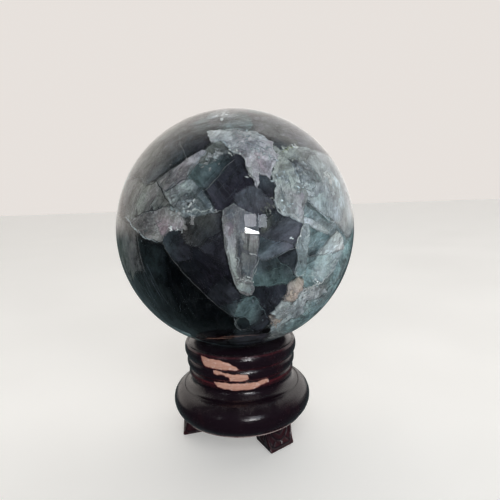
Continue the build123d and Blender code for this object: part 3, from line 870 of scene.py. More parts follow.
# Tones of the sides, back, top and underside, which the photograph doesn't show: tone, raggedness, share of
# plates
OTHER_SIDES = [
    ("deep_teal", 0.03, 3),
    ("navy", 0.03, 3),
    ("night", 0.02, 2),
    ("slate", 0.04, 4),
    ("plum", 0.03, 1),
    ("smoke", 0.06, 3),
    ("teal", 0.06, 4),
    ("moss", 0.07, 2),
    ("frost", 0.10, 3),
    ("lavender", 0.10, 1),
    ("ice", 0.10, 2),
    ("snow", 0.10, 1),
]
DARK_TONES = ("deep_teal", "navy", "night", "slate", "plum")
PALE_TONES = ("frost", "ice", "snow", "lavender")
OTHER_PLATES = ((26, 60, 0.925, 0.945), (17, 90, 0.945, 0.97))  # size in millimetres, count, depths
FRONT_REACH = 60.0  # degrees from the middle of the front that the outlined zones cover
FLAKE_SHARE = 0.9855
CLEAVAGE_SHARE = 0.986
HEART_SHARE = 0.895


def polar(heading):
    """Degrees from the middle of the ball's front."""
    return math.degrees(heading.angle(Vector((0, -1, 0))))


def scattered_headings(count, rng):
    """Directions spread evenly over a sphere, then stirred a little."""
    headings = []
    golden = math.pi * (3 - math.sqrt(5))
    for i in range(count):
        z = 1 - 2 * (i + 0.5) / count
        r = math.sqrt(1 - z * z)
        a = golden * i
        stir = Vector((rng.gauss(0, 0.06), rng.gauss(0, 0.06), rng.gauss(0, 0.06)))
        headings.append((Vector((math.cos(a) * r, math.sin(a) * r, z)) + stir).normalized())
    return headings


def random_corners(size, rng):
    """Corners of an angular plate, longer one way than the other."""
    corners = []
    count = rng.randint(5, 8)
    turn = rng.uniform(0, math.tau)
    stretch = rng.uniform(1.0, 1.9)
    for i in range(count):
        angle = math.tau * (i + rng.uniform(-0.3, 0.3)) / count
        reach = size / 2 * rng.uniform(0.75, 1.2)
        corner = Vector((math.cos(angle) * reach * stretch, math.sin(angle) * reach))
        corners.append(Matrix.Rotation(turn, 2) @ corner)
    return corners


def add_other_sides(kinds, rng):
    """Plates like the front's on the rest of the ball."""
    bag = []
    for tone, jag, share in OTHER_SIDES:
        bag += [(tone, jag)] * share
    for size, count, deepest, shallowest in OTHER_PLATES:
        for heading in scattered_headings(count, rng):
            corners = random_corners(size * rng.uniform(0.55, 1.45), rng)
            reach = max(c.length for c in corners) / BALL_MM
            tone, jag = rng.choice(bag)
            if polar(heading) - math.degrees(reach) < FRONT_REACH:
                continue
            kind = "depths" if tone in DARK_TONES else "veils" if tone in PALE_TONES else "clouds"
            share = rng.uniform(deepest, shallowest) + (0.012 if kind == "veils" else 0.0)
            passing = (tone, rng.choice(bag)[0], rng.uniform(0, 360))
            light = rng.uniform(0.8, 1.1)
            glint = rng.uniform(0.2, 0.8)
            soft = rng.choice([0.2, 0.5, 1.5])
            lay = rng.uniform(0, math.pi)
            tilt = rng.uniform(0, 0.02)
            kinds[kind].plate(heading, corners, passing, light, share, jag, glint, soft, lay, rng, tilt)
            if kind == "veils":
                for _ in range(10):
                    near = (heading + Vector([rng.gauss(0, 0.06) for _ in range(3)])).normalized()
                    kinds["flakes"].flake(near, rng.uniform(0.4, 1.1), "snow", 0.9, 0.978, rng)


def add_cleavage(flakes, rng):
    """Fine straight lines just under the surface."""
    for azimuth, elevation, reach, count, lean, length, tone, light in CLEAVAGE:
        for _ in range(count):
            a = azimuth + rng.uniform(-reach, reach)
            e = elevation + rng.uniform(-reach, reach)
            angle = math.radians(lean + rng.gauss(0, 4))
            half = length * rng.uniform(0.2, 0.6)
            across, up = math.cos(angle) * half, math.sin(angle) * half
            line = [(a - across, e - up), (a + across, e + up)]
            chosen = light * rng.uniform(0.7, 1.1)
            flakes.vein(line, rng.uniform(0.07, 0.15), tone, chosen, CLEAVAGE_SHARE, 0.008, rng)


def add_veins_and_flakes(flakes, rng):
    for width, tone, light, share, jag, line in VEINS:
        flakes.vein(line, width, tone, light, share, jag, rng)
    for azimuth, elevation, reach, count, size, tone, light in CLUSTERS:
        for _ in range(count):
            a = azimuth + rng.gauss(0, reach / 2)
            e = elevation + rng.gauss(0, reach / 2)
            chosen = light * rng.uniform(0.75, 1.15)
            heading = sunk(direction(a, e), FLAKE_SHARE)
            flakes.flake(heading, size * rng.uniform(0.5, 1.4), tone, chosen, FLAKE_SHARE, rng)


def make_zones():
    """Makes the five pieces of plates. Returns the kinds that lie over the heart."""
    rng = random.Random(11)
    # Spacing of the points, relief and thickness, in millimetres
    kinds = {
        "depths": Zones("ball_depths", 1.0, 0.3, 1.2),
        "clouds": Zones("ball_clouds", 0.8, 0.3, 1.0),
        "veils": Zones("ball_veils", 0.65, 0.3, 0.8),
        "crystals": Zones("ball_crystals", 0.5, 0.3, 0.8),
        "flakes": Zones("ball_flakes", 0.6, 0.05, 0.25),
    }
    for kind, rows in (("depths", DEPTHS), ("clouds", CLOUDS), ("veils", VEILS), ("crystals", CRYSTALS)):
        for tone, light, share, jag, glint, soft, lay, corners in rows:
            kinds[kind].outlined(corners, tone, light, share, jag, glint, soft, lay, rng)
    add_veins_and_flakes(kinds["flakes"], rng)
    add_cleavage(kinds["flakes"], rng)
    add_other_sides(kinds, rng)
    # Mist, shard, fibre, veining, thinnest, roughness and gloss
    looks = {
        "depths": (0.45, 0.12, 0.16, 0.015, 0.7, 0.35, 0.02),
        "clouds": (0.38, 0.22, 0.18, 0.28, 0.45, 0.40, 0.10),
        "veils": (0.30, 0.24, 0.15, 0.5, 0.45, 0.38, 0.2),
        "crystals": (0.22, 0.09, 0.16, 0.25, 0.8, 0.35, 0.2),
        "flakes": (0.15, 0.10, 0.20, 0.0, 0.9, 0.25, 0.3),
    }
    for kind, zones in kinds.items():
        piece = zones.build(zone_material("mineral_" + kind, *looks[kind]))
    return [kinds[kind] for kind in ("depths", "clouds", "veils")]


def sphere_mesh(name, radius, around, up, shift=None):
    """Closed sphere round the ball's centre. shift(heading) moves its points out, in millimetres."""
    points = []
    for row in range(up - 1, 0, -1):
        polar_angle = math.pi * row / up
        for column in range(around):
            a = math.tau * column / around
            level = math.sin(polar_angle)
            heading = Vector((math.cos(a) * level, math.sin(a) * level, math.cos(polar_angle)))
            points.append(heading * (radius + (shift(heading) if shift else 0.0)))
    points += [Vector((0, 0, -radius)), Vector((0, 0, radius))]
    mesh = bpy.data.meshes.new(name)
    mesh.from_pydata([BALL_CENTRE + p * MM for p in points], [], capped_rings(up - 1, around))
    return mesh


def core_material():
    """Heart of the ball behind its zones: their own tones, deeper and in banded clouds."""
    n = new_nodes("mineral_heart")
    place = n.position()
    clouds = n.noise(place, 160.0, 6.0, 0.65, 0.8)
    bands = n.noise(n.stretch(place, (90.0, 420.0, 260.0)), 1.0, 5.0, 0.7, 0.5)
    light = n.times(n.ramp(clouds, 0.3, 0.7, 0.45, 1.0), n.ramp(bands, 0.3, 0.7, 0.7, 1.2))
    colour = n.scaled(n.attribute("tint", "Color"), light)
    bump = n.bump(bands, 0.5, 0.001)
    shader = n.add("ShaderNodeBsdfPrincipled", Base_Color=colour, Roughness=0.45, Normal=bump,
                   Specular_IOR_Level=0.1)
    return n.finish(shader.outputs[0])


def tint_heart(mesh, layers):
    """Gives each point of the heart the mean tone of the zones' points over it."""
    headings = []
    tones = []
    for zones in layers:
        for point, tone in zip(zones.points, zones.tint):
            headings.append(point.normalized())
            tones.append(tone)
    tree = kdtree.KDTree(len(headings))
    for i, heading in enumerate(headings):
        tree.insert(heading, i)
    tree.balance()
    colours = []
    for vertex in mesh.vertices:
        near = tree.find_n((vertex.co - BALL_CENTRE).normalized(), 6)
        for channel in range(3):
            colours.append(sum(tones[i][channel] for _, i, _ in near) / len(near))
        colours.append(1.0)
    store(mesh, "tint", "FLOAT_COLOR", "color", colours)


def make_ball():
    def uneven(heading):
        return 1.2 * noise.fractal(heading * 3.2, 0.9, 2.0, 4)

    layers = make_zones()
    heart = sphere_mesh("ball_heart", BALL_MM * HEART_SHARE, 220, 110, uneven)
    tint_heart(heart, layers)
    place("ball_heart", heart, core_material(), "ball")
    shell = place("ball_shell", sphere_mesh("ball_shell", BALL_MM, 256, 128), shell_material(), "ball")
    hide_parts("crystal_ball")


# ---------------------------------------------------------------- the stand

# Turned profiles in millimetres: radius and height, as in the CAD
FOOT_TOP = 9.0
PLINTH_TOP = 25.8
COLLAR_FOOT = (22.05, 25.8)
LOWER_GROOVE = (22.7, 30.05)
UPPER_GROOVE = (23.4, 35.05)
LIP_EDGE = (24.3, 40.95)
LIP_CREST = (23.65, 41.45)
LIP_INNER = (23.0, 41.2)
BEAD_BULGE = 0.85
LAND_OUTER = (14.2, 41.75)
LAND_INNER = (11.0, 40.92)
WELL_FLOOR = 32.95
SPIGOT_RADIUS = 9.0
SPIGOT_END = 17.8
SOCKET_RADIUS = 9.05
SOCKET_FLOOR = 17.6
PLINTH_UNDERSIDE = (27.35, 9.0)
PLINTH_EDGE = (27.7, 9.7)
PLINTH_EQUATOR = (30.5, 15.75)
PLINTH_SHOULDER = (25.9, 22.05)
COVE_START = (25.2, 22.05)
COVE_END = (21.7, 25.8)

# Chips in the lacquer of the collar's beads: azimuth in degrees and height in millimetres
CHIPS = [
    [(-42, 40.2), (-28, 40.0), (-17, 39.4), (-10, 38.6), (-5, 37.4), (-1, 35.6), (-10, 35.4), (-22, 35.4),
        (-38, 35.8), (-40, 38)],
    [(-29, 34.9), (-20, 34.7), (-12, 34.1), (0, 33.7), (6, 33.6), (7.5, 31.6), (4, 30.8), (-4, 30.4),
        (-12, 30.5), (-12.5, 32.3), (-18, 33.2), (-28, 33.4)],
    [(-30, 29.8), (-20, 29.7), (-8, 29.7), (6, 29.8), (18, 29.8), (28, 30.0), (28.6, 28.6), (16, 27.2),
        (4, 26.4), (-6, 26.3), (-18, 26.8), (-26, 27.8)],
]
CHIP_DEPTH = 0.32
CHIP_SPAN = (-52, 38)  # azimuths that the chips lie between
CHIP_RADIUS = 24.0  # where degrees round the collar are taken as millimetres
UNCHIPPED = -9.0  # depth inside a chip of a point that is far from all of them
SHADED = -1.0  # crest value of the dish under the ball: painted shade, which keeps the painted dust and sheen and the red out
SHOWN_RADIUS = 15  # tool marks and dents lie outside this radius


def arc(start, end, bulge, count):
    """Points of an arc from start, without end, that stands out to the right by bulge."""
    (x0, z0), (x1, z1) = start, end
    length = math.hypot(x1 - x0, z1 - z0)
    along = ((x1 - x0) / length, (z1 - z0) / length)
    radius = (length**2 / 4 + bulge**2) / (2 * abs(bulge))
    out = []
    for i in range(count):
        s = length * i / count
        sag = math.sqrt(radius**2 - (s - length / 2) ** 2) - (radius - abs(bulge))
        sag = math.copysign(sag, bulge)
        out.append((x0 + along[0] * s + along[1] * sag, z0 + along[1] * s - along[0] * sag))
    return out


def straight(start, end, count):
    """Points of a straight line from start, without end."""
    run = (end[0] - start[0], end[1] - start[1])
    return [(start[0] + run[0] * i / count, start[1] + run[1] * i / count) for i in range(count)]


def upright_arc(equator, end, count):
    """Points from equator, where the arc is upright, towards end, without end."""
    run = equator[0] - end[0]
    rise = end[1] - equator[1]
    radius = (run**2 + rise**2) / (2 * run)
    sweep = math.asin(rise / radius)
    out = []
    for i in range(count):
        angle = sweep * i / count
        out.append((equator[0] - radius * (1 - math.cos(angle)), equator[1] + radius * math.sin(angle)))
    return out


def collar_profile():
    points = [(0, SPIGOT_END), (SPIGOT_RADIUS, SPIGOT_END), (SPIGOT_RADIUS, PLINTH_TOP)]
    points += arc(COLLAR_FOOT, LOWER_GROOVE, BEAD_BULGE, 28)
    points += arc(LOWER_GROOVE, UPPER_GROOVE, BEAD_BULGE, 32)
    points += arc(UPPER_GROOVE, LIP_EDGE, BEAD_BULGE, 36)
    points += [LIP_EDGE, (24.2, 41.2), (23.95, 41.4), LIP_CREST, (23.3, 41.4)]
    points += arc(LIP_INNER, LAND_OUTER, 1.45, 16)
    points += arc(LAND_OUTER, LAND_INNER, 0.03, 4)
    points += [LAND_INNER, (LAND_INNER[0], WELL_FLOOR), (0, WELL_FLOOR)]
    return points


def plinth_profile():
    points = [(0, FOOT_TOP), PLINTH_UNDERSIDE]
    points += arc(PLINTH_UNDERSIDE, PLINTH_EDGE, 0.14, 4)[1:]
    points += upright_arc(PLINTH_EQUATOR, PLINTH_EDGE, 26)[::-1]
    points += upright_arc(PLINTH_EQUATOR, PLINTH_SHOULDER, 28)[1:]
    points += [PLINTH_SHOULDER, (25.7, 21.88), (25.55, 21.72), (25.4, 21.88)]
    points += arc(COVE_START, COVE_END, -1.0, 22)
    points += [COVE_END, (SOCKET_RADIUS, PLINTH_TOP), (SOCKET_RADIUS, SOCKET_FLOOR), (0, SOCKET_FLOOR)]
    return points


def chip_depths(azimuths, heights):
    """How far each point of the collar lies inside a chip, in millimetres; less than 0 outside."""
    deepest = np.full(len(azimuths), UNCHIPPED)
    points = np.stack([np.radians(azimuths) * CHIP_RADIUS, heights], axis=1)
    rng = random.Random(5)
    for corners in CHIPS:
        line = [Vector((math.radians(a) * CHIP_RADIUS, z)) for a, z in corners]
        rim = []
        for start, end in pairs(line):
            rim += broken_line(start, end, 0.035, 0.3, rng)
        near = np.abs(heights - np.mean([z for _, z in corners])) < 6
        away, inside = outline_distance(points[near], np.array([tuple(p) for p in rim]))
        deepest[near] = np.maximum(deepest[near], np.where(inside, away, -away))
    return deepest


def worn_radius(azimuth, around, radius, height, deep):
    """Radius of a turned point with its tool marks, dents and chips."""
    if radius > SHOWN_RADIUS:
        tool_mark = noise.noise(Vector((around.x * 0.6, around.y * 0.6, height * 3.1)))
        dent = noise.noise(Vector((around.x * 7, around.y * 7, height * 0.25)))
        radius += 0.035 * tool_mark + 0.06 * dent
    if deep > -0.3:
        step = min(1.0, max(0.0, deep / 0.22))
        splinters = 0.07 * noise.noise(Vector((azimuth * 0.10, height * 3.5, 4.0)))
        lip = max(0.0, 1 - abs(deep) / 0.25)
        radius += 0.05 * lip * (1 - step) - step * (CHIP_DEPTH + splinters)
    return radius


def turned_mesh(name, profile, azimuths, crest, chipped):
    """Closed solid turned from a profile, with tool marks and dents, and with chips if it is chipped."""
    ring = [p for p in profile if p[0] > 0]
    columns = len(azimuths)
    a = np.tile(np.array(azimuths), len(ring))
    r = np.repeat(np.array([p[0] for p in ring]), columns)
    z = np.repeat(np.array([p[1] for p in ring]), columns)
    depths = chip_depths(a, z) if chipped else np.full(len(a), UNCHIPPED)
    points = []
    for azimuth, radius, height, deep in zip(a, r, z, depths):
        angle = math.radians(azimuth)
        around = Vector((math.sin(angle), -math.cos(angle)))
        radius = worn_radius(azimuth, around, radius, height, deep)
        points.append((around.x * radius * MM, around.y * radius * MM, height * MM))
    points += [(0, 0, profile[0][1] * MM), (0, 0, profile[-1][1] * MM)]
    mesh = bpy.data.meshes.new(name)
    mesh.from_pydata(points, [], capped_rings(len(ring), columns))
    crests = list(np.repeat([crest(p) for p in ring], columns))
    store(mesh, "crest", "FLOAT", "value", crests + [0.0, 0.0])
    store(mesh, "bare", "FLOAT", "value", list(depths) + [UNCHIPPED, UNCHIPPED])
    return mesh


def nearness(point, places, reach):
    """1 at any of some places on a profile, falling to 0 at reach millimetres away."""
    return max(max(0.0, 1 - math.dist(point, place) / reach) for place in places)


def collar_crest(point):
    """Where polish has worn the collar's dark coat down to red."""
    upper = 0.55 * nearness(point, [(24.2, 40.7), (23.6, 35.4)], 0.7)
    lower = 0.85 * nearness(point, [(23.0, 30.5), (23.3, 28.8)], 0.9)
    # Painted shade in the dish under the ball: no red, dust or sheen there.
    if point[0] < LIP_INNER[0] and point[1] > PLINTH_TOP:
        return SHADED
    return max(upper, lower, 0.35 * nearness(point, [(23.2, 28.2)], 2.2))


def plinth_crest(point):
    """Where the plinth's bottom edge is worn, and where its groove stays dark."""
    edge = nearness(point, [(27.6, 9.35)], 0.6)
    # Painted shade: near the groove and the foot of the cove, the painted dust and sheen and the red are
    # taken away.
    groove_shade = nearness(point, [(25.2, 22.1)], 2.4)
    return 2.2 * edge - 1.4 * groove_shade


def lacquer_material(name, red_share, dullness):
    """Glossy near-black lacquer, red where it is thin, with bare pinkish wood in its chips."""
    n = new_nodes(name)
    place = n.position()
    crest = n.attribute("crest")
    bare = n.attribute("bare")
    fibres = n.noise(n.stretch(place, (90.0, 90.0, 2200.0)), 1.0, 5.0, 0.65)
    patches = n.noise(place, 130.0, 5.0, 0.65, 0.4)
    dust = n.noise(place, 900.0, 4.0, 0.7)
    thin = n.times(crest, n.ramp(patches, 0.3, 0.62, 0.25, 1.0))
    thin = n.plus(thin, n.ramp(patches, 0.5, 0.75, 0.0, red_share), clamp=True)
    coat = n.mix(thin, (0.0085, 0.0045, 0.0075, 1.0), (0.075, 0.011, 0.015, 1.0))
    coat = n.mix(n.ramp(fibres, 0.5, 0.8, 0.0, 0.5), coat, (0.004, 0.003, 0.003, 1.0))
    # Upward-facing surfaces turn paler grey-brown: partly dust, partly a painted sheen of reflected light. A
    # negative crest, where shade is painted, keeps it out.
    facing = n.add("ShaderNodeSeparateXYZ", Vector=n.add("ShaderNodeNewGeometry").outputs["Normal"])
    dust_and_sheen = n.times(n.ramp(facing.outputs["Z"], 0.25, 0.95), n.ramp(patches, 0.42, 0.62, 0.1, 0.6))
    dust_and_sheen = n.times(dust_and_sheen, n.ramp(crest, -0.9, -0.1))
    coat = n.mix(dust_and_sheen, coat, (0.034, 0.028, 0.030, 1.0))
    # Paler grey on the most raised edges, above all the plinth's bottom edge: partly wear, partly a painted
    # highlight.
    worn = n.times(n.ramp(crest, 0.75, 1.2), n.ramp(dust, 0.36, 0.5))
    coat = n.mix(worn, coat, (0.30, 0.25, 0.24, 1.0))
    wood = n.mix(n.ramp(fibres, 0.3, 0.7), (0.30, 0.135, 0.095, 1.0), (0.47, 0.27, 0.205, 1.0))
    wood = n.mix(n.ramp(dust, 0.45, 0.75, 0.0, 0.35), wood, (0.60, 0.43, 0.37, 1.0))
    inside = n.ramp(bare, 0.02, 0.14)
    rim = n.times(n.ramp(bare, -0.16, 0.02), n.ramp(bare, 0.30, 0.10))
    colour = n.mix(inside, coat, wood)
    colour = n.mix(n.times(rim, 0.8), colour, (0.07, 0.012, 0.012, 1.0))
    bitten = n.times(inside, n.ramp(n.noise(place, 700.0, 3.0, 0.6), 0.54, 0.7, 0.0, 0.5))
    colour = n.mix(bitten, colour, (0.62, 0.50, 0.46, 1.0))
    smooth = n.ramp(patches, 0.3, 0.7, 0.10 + dullness, 0.22 + dullness)
    smooth = n.plus(smooth, n.ramp(dust, 0.5, 0.7, 0.0, 0.12))
    smooth = n.plus(smooth, n.times(dust_and_sheen, 0.2))
    rough = n.add("ShaderNodeMix", {"data_type": "FLOAT"}, Factor=inside)
    n.plug(rough.inputs[2], smooth)
    n.plug(rough.inputs[3], 0.75)
    bump = n.bump(n.plus(fibres, dust), 0.25, 0.0002)
    shader = n.add("ShaderNodeBsdfPrincipled", Base_Color=colour, Roughness=rough.outputs[0], Normal=bump)
    return n.finish(shader.outputs[0])


def bare_wood_material():
    n = new_nodes("bare_wood_grain")
    fibres = n.noise(n.stretch(n.position(), (900.0, 900.0, 60.0)), 1.0, 5.0, 0.6)
    colour = n.mix(n.ramp(fibres, 0.3, 0.7), (0.36, 0.20, 0.11, 1.0), (0.52, 0.33, 0.20, 1.0))
    bump = n.bump(fibres, 0.3, 0.0003)
    shader = n.add("ShaderNodeBsdfPrincipled", Base_Color=colour, Roughness=0.7, Normal=bump)
    return n.finish(shader.outputs[0])


# A foot as in the CAD, in millimetres: corners of its side outline as distance from the stand's axis and
# height, and its half width at the toe's radius, with what that loses for each millimetre inwards
FOOT_AZIMUTHS = {"foot_front_right": 35.5, "foot_rear": 155.5, "foot_left": 275.5}
FOOT_TOP_INNER = (8.5, 9.0)
FOOT_RISE = (8.5, 5.0)
FOOT_PAD_INNER = (15.0, 0.0)
TOE_UNDER = (26.7, 0.0)
TOE = (27.3, 1.0)
FOOT_TOP_OUTER = (25.2, 9.0)
TOP_HALF_WIDTH = 8.0
TOP_TAPER = 0.26
BOTTOM_HALF_WIDTH = 6.0
BOTTOM_TAPER = 0.16

# Carved lines of a foot, in millimetres: on its sides as distance from the stand's axis and height, and on
# its outer face as distance from its middle and height
SIDE_CARVING = [
    [(24.6, 8.2), (25.4, 5.2), (26.2, 2.4), (25.0, 1.2), (20.0, 1.2), (16.4, 1.6), (13.2, 3.8)],
    [(22.6, 8.4), (23.4, 6.0), (23.2, 4.0), (21.6, 2.8), (19.8, 3.2), (19.2, 4.8), (20.2, 6.0), (21.4, 5.4),
        (21.2, 4.4)],
    [(12.0, 8.2), (13.6, 6.2), (15.8, 5.4), (17.6, 6.4), (18.4, 8.4)],
]
FACE_CARVING = [
    [(-6.6, 8.3), (-5.9, 5.0), (-5.0, 2.2), (-3.4, 1.5), (0, 1.4), (3.4, 1.5), (5.0, 2.2), (5.9, 5.0),
        (6.6, 8.3)],
    [(-4.4, 8.4), (-3.8, 6.0), (-2.2, 4.2), (0, 3.4), (2.2, 4.2), (3.8, 6.0), (4.4, 8.4)],
    [(-2.2, 8.4), (-1.4, 6.8), (0, 5.8), (1.4, 6.8), (2.2, 8.4)],
    [(0, 3.2), (0, 1.7)],
    [(-3.0, 3.6), (-4.2, 2.4)],
    [(3.0, 3.6), (4.2, 2.4)],
]
CARVING_DEPTH = 0.42
CARVING_HALF_WIDTH = 0.51
FOOT_CORNER = 0.3  # inset of a side face from the outline
FOOT_BODY_SHARE = 0.95  # share of the half width where the corner starts
FACE_START = 24  # the outer face lies further out than this


def groove(x, z, strokes):
    """Depth of the carving at a point."""
    nearest = CARVING_HALF_WIDTH
    for stroke in strokes:
        for (ax, az), (bx, bz) in zip(stroke, stroke[1:]):
            run = (bx - ax) ** 2 + (bz - az) ** 2
            t = max(0.0, min(1.0, ((x - ax) * (bx - ax) + (z - az) * (bz - az)) / run))
            nearest = min(nearest, math.hypot(x - ax - t * (bx - ax), z - az - t * (bz - az)))
    return CARVING_DEPTH * (1 - nearest / CARVING_HALF_WIDTH) ** 0.8


def foot_half_width(x, z):
    """Half width of a foot at a distance from the stand's axis and a height."""
    low = BOTTOM_HALF_WIDTH - BOTTOM_TAPER * (TOE[0] - x)
    high = TOP_HALF_WIDTH - TOP_TAPER * (TOE[0] - x)
    return low + (high - low) * z / FOOT_TOP


def foot_outline():
    """Side outline of a foot: distance from the stand's axis and height."""
    points = straight(FOOT_TOP_INNER, FOOT_RISE, 8)
    points += arc(FOOT_RISE, FOOT_PAD_INNER, -1.2, 20)
    points += straight(FOOT_PAD_INNER, TOE_UNDER, 24)
    points += arc(TOE_UNDER, TOE, 0.25, 5)
    points += arc(TOE, FOOT_TOP_OUTER, -0.5, 30)
    points += straight(FOOT_TOP_OUTER, FOOT_TOP_INNER, 30)
    return points


def foot_mesh(name, azimuth, rng):
    """A foot with carved sides and outer face and rounded, worn corners."""
    outline = np.array(foot_outline())
    count = len(outline)
    along = np.roll(outline, -1, axis=0) - np.roll(outline, 1, axis=0)
    along = along / np.linalg.norm(along, axis=1, keepdims=True)
    inset = outline + np.stack([-along[:, 1], along[:, 0]], axis=1) * FOOT_CORNER
    points = []
    crest = []
    steps = 36
    for step in range(steps + 1):
        t = (step / steps * 2 - 1) * FOOT_BODY_SHARE
        for x, z in outline:
            y = t * foot_half_width(x, z)
            on_face = x > FACE_START
            cut = groove(y, z, FACE_CARVING) if on_face and 1.0 < z < FOOT_TOP - 0.01 else 0.0
            dent = min(0.0, 0.12 * noise.noise(Vector((x * 0.6, y * 0.6, z * 0.6 + azimuth))))
            points.append((x - cut + (dent if on_face else 0.0), y, z))
            edge = max(0.0, (abs(t) - 0.86) / 0.09)
            crest.append(0.55 * edge + (0.3 if on_face else 0.1) - cut)
    faces = ring_grid(steps + 1, count)
    flat, triangles = fill_outline(inset, 0.42, rng)
    for side, start in ((-1, 0), (1, steps * count)):
        base = len(points)
        for x, z in flat:
            cut = groove(x, z, SIDE_CARVING)
            dent = min(0.0, 0.10 * noise.noise(Vector((x * 0.7, z * 0.7, side * 5 + azimuth))))
            points.append((x, side * (foot_half_width(x, z) - cut + dent), z))
            crest.append(0.3 - cut)
        corner = [[start + j, start + i, base + i, base + j] for i, j in pairs(list(range(count)))]
        for face in corner + [[base + v for v in triangle] for triangle in triangles]:
            faces.append(face if side < 0 else face[::-1])
    turn = Matrix.Rotation(math.radians(azimuth - 90), 3, "Z")
    mesh = bpy.data.meshes.new(name)
    mesh.from_pydata([turn @ Vector(p) * MM for p in points], [], faces)
    store(mesh, "crest", "FLOAT", "value", crest)
    store(mesh, "bare", "FLOAT", "value", [UNCHIPPED] * len(points))
    return mesh


def make_stand():
    fine = list(np.arange(CHIP_SPAN[0], CHIP_SPAN[1], 0.3))
    coarse = list(np.arange(CHIP_SPAN[1], CHIP_SPAN[0] + 360, 1.4))
    dark = lacquer_material("dark_lacquer", 0.10, 0.0)
    collar_mesh = turned_mesh("collar_turned", collar_profile(), fine + coarse, collar_crest, True)
    plinth_mesh = turned_mesh("plinth_turned", plinth_profile(), list(range(360)), plinth_crest, False)
    collar = place("collar_turned", collar_mesh, dark, "stand", 50.0)
    plinth = place("plinth_turned", plinth_mesh, dark, "stand", 50.0)
    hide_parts("seat_collar")
    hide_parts("plinth")
    carved = lacquer_material("carved_lacquer", 0.22, 0.18)
    rng = random.Random(3)
    for name, azimuth in FOOT_AZIMUTHS.items():
        foot = place(name + "_carved", foot_mesh(name + "_carved", azimuth, rng), carved, "stand", 45.0)
        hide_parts(name)
    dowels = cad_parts["foot_dowels"]
    dowels.data.materials.clear()
    dowels.data.materials.append(bare_wood_material())


# ---------------------------------------------------------------- studio

FLOOR_HALF = 3.0
FLOOR_DROP = 0.0002  # below the feet


def make_floor():
    """A plain pale floor."""
    mesh = bpy.data.meshes.new("floor")
    corners = ((-1, -1), (1, -1), (1, 1), (-1, 1))
    mesh.from_pydata([(x * FLOOR_HALF, y * FLOOR_HALF, -FLOOR_DROP) for x, y in corners], [], [[0, 1, 2, 3]])
    n = new_nodes("pale_floor")
    cloud = n.noise(n.position(), 9.0, 4.0, 0.5)
    colour = n.mix(n.ramp(cloud, 0.3, 0.7), (0.80, 0.80, 0.78, 1.0), (0.84, 0.84, 0.82, 1.0))
    shader = n.add("ShaderNodeBsdfPrincipled", Base_Color=colour, Roughness=0.6, Emission_Color=colour,
                   Emission_Strength=0.3)
    mesh.materials.append(n.finish(shader.outputs[0]))
    floor = bpy.data.objects.new("floor", mesh)
    bpy.context.scene.collection.objects.link(floor)
    floor.visible_glossy = False


def make_world():
    """Pale surroundings: bright behind the ball, as a near wall is, and dim on the camera's side.

    The camera itself sees one plain pale colour.
    """
    world = bpy.data.worlds.new("studio")
    bpy.context.scene.world = world
    n = Nodes(world, "ShaderNodeOutputWorld")
    place = n.add("ShaderNodeTexCoord").outputs["Generated"]
    split = n.add("ShaderNodeSeparateXYZ", Vector=place).outputs
    wall = n.mix(n.ramp(split["X"], -0.9, 0.9), (1.00, 0.93, 0.87, 1.0), (1.25, 1.20, 1.16, 1.0))
    sides = n.mix(n.ramp(split["Y"], -0.1, 0.45), (0.03, 0.033, 0.037, 1.0), wall)
    below = n.mix(n.ramp(split["Y"], -0.3, 0.7), (0.006, 0.010, 0.012, 1.0), (0.06, 0.085, 0.09, 1.0))
    around = n.mix(n.ramp(split["Z"], -0.12, 0.02), below, sides)
    seen = n.add("ShaderNodeLightPath").outputs["Is Camera Ray"]
    shown = n.mix(seen, around, (0.80, 0.755, 0.72, 1.0))
    n.finish(n.add("ShaderNodeBackground", Color=shown).outputs[0])


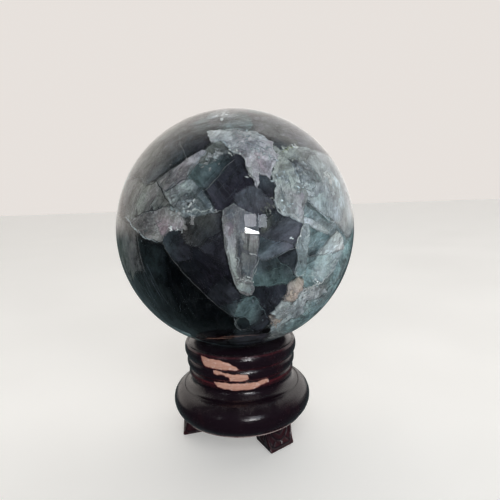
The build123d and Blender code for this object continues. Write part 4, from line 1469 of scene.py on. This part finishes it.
def add_lamp(name, azimuth, elevation, distance, width, height, strength, colour, reflected, roll=0.0):
    """A soft rectangular lamp of a radiance strength, aimed at the ball and turned by roll degrees."""
    light = bpy.data.lights.new(name, "AREA")
    light.shape = "RECTANGLE"
    light.size = width
    light.size_y = height
    light.color = colour
    light.energy = strength * width * height * math.pi
    lamp = bpy.data.objects.new(name, light)
    bpy.context.scene.collection.objects.link(lamp)
    heading = direction(azimuth, elevation)
    lamp.location = BALL_CENTRE + heading * distance
    lamp.rotation_mode = "QUATERNION"
    aimed = (-heading).to_track_quat("-Z", "Y")
    lamp.rotation_quaternion = aimed @ Quaternion((0, 0, 1), math.radians(roll))
    lamp.visible_glossy = reflected
    lamp.visible_transmission = reflected
    lamp.visible_camera = False


def make_lights():
    add_lamp("window_left_pane", 12.5, 11, 0.9, 0.155, 0.17, 6.0, (0.97, 0.95, 1.0), True)
    add_lamp("window_right_pane", 23, 10, 0.9, 0.11, 0.17, 6.0, (0.82, 0.88, 1.0), True)
    add_lamp("window_sill", 13.4, 1.0, 0.88, 0.19, 0.03, 45.0, (1.0, 1.0, 1.0), True, -8)
    add_lamp("window_blind", 12.2, 2.7, 0.88, 0.17, 0.034, 45.0, (1.0, 1.0, 1.0), True, -22)
    add_lamp("side_window", -38, 12, 0.9, 0.05, 0.12, 4.0, (0.95, 0.98, 1.0), True)
    add_lamp("front_softbox", 12, 30, 1.2, 1.6, 1.2, 1.5, (1.0, 1.0, 1.0), False)
    add_lamp("low_softbox", -10, -2, 1.2, 1.6, 0.9, 0.5, (0.95, 1.0, 1.0), False)


def make_camera():
    camera = bpy.data.cameras.new("camera")
    camera.sensor_width = 36.0
    camera.lens = CAMERA_LENS
    camera.clip_start = 0.005
    camera.clip_end = 20.0
    eye = bpy.data.objects.new("camera", camera)
    bpy.context.scene.collection.objects.link(eye)
    eye.location = BALL_CENTRE + direction(0, CAMERA_ELEVATION) * CAMERA_DISTANCE
    forward = (BALL_CENTRE - eye.location).normalized()
    right = Vector((1, 0, 0))
    up = right.cross(forward)
    turn = Matrix.Rotation(math.radians(CAMERA_YAW), 3, up)
    forward = turn @ forward
    right = turn @ right
    turn = Matrix.Rotation(math.radians(CAMERA_PITCH), 3, right)
    forward = turn @ forward
    up = turn @ up
    turn = Matrix.Rotation(math.radians(CAMERA_ROLL), 3, forward)
    right = turn @ right
    up = turn @ up
    eye.rotation_mode = "QUATERNION"
    eye.rotation_quaternion = Matrix((right, up, -forward)).transposed().to_quaternion()
    bpy.context.scene.camera = eye


make_ball()
make_stand()
make_floor()
make_world()
make_lights()
make_camera()
bpy.context.scene.view_settings.view_transform = "Standard"
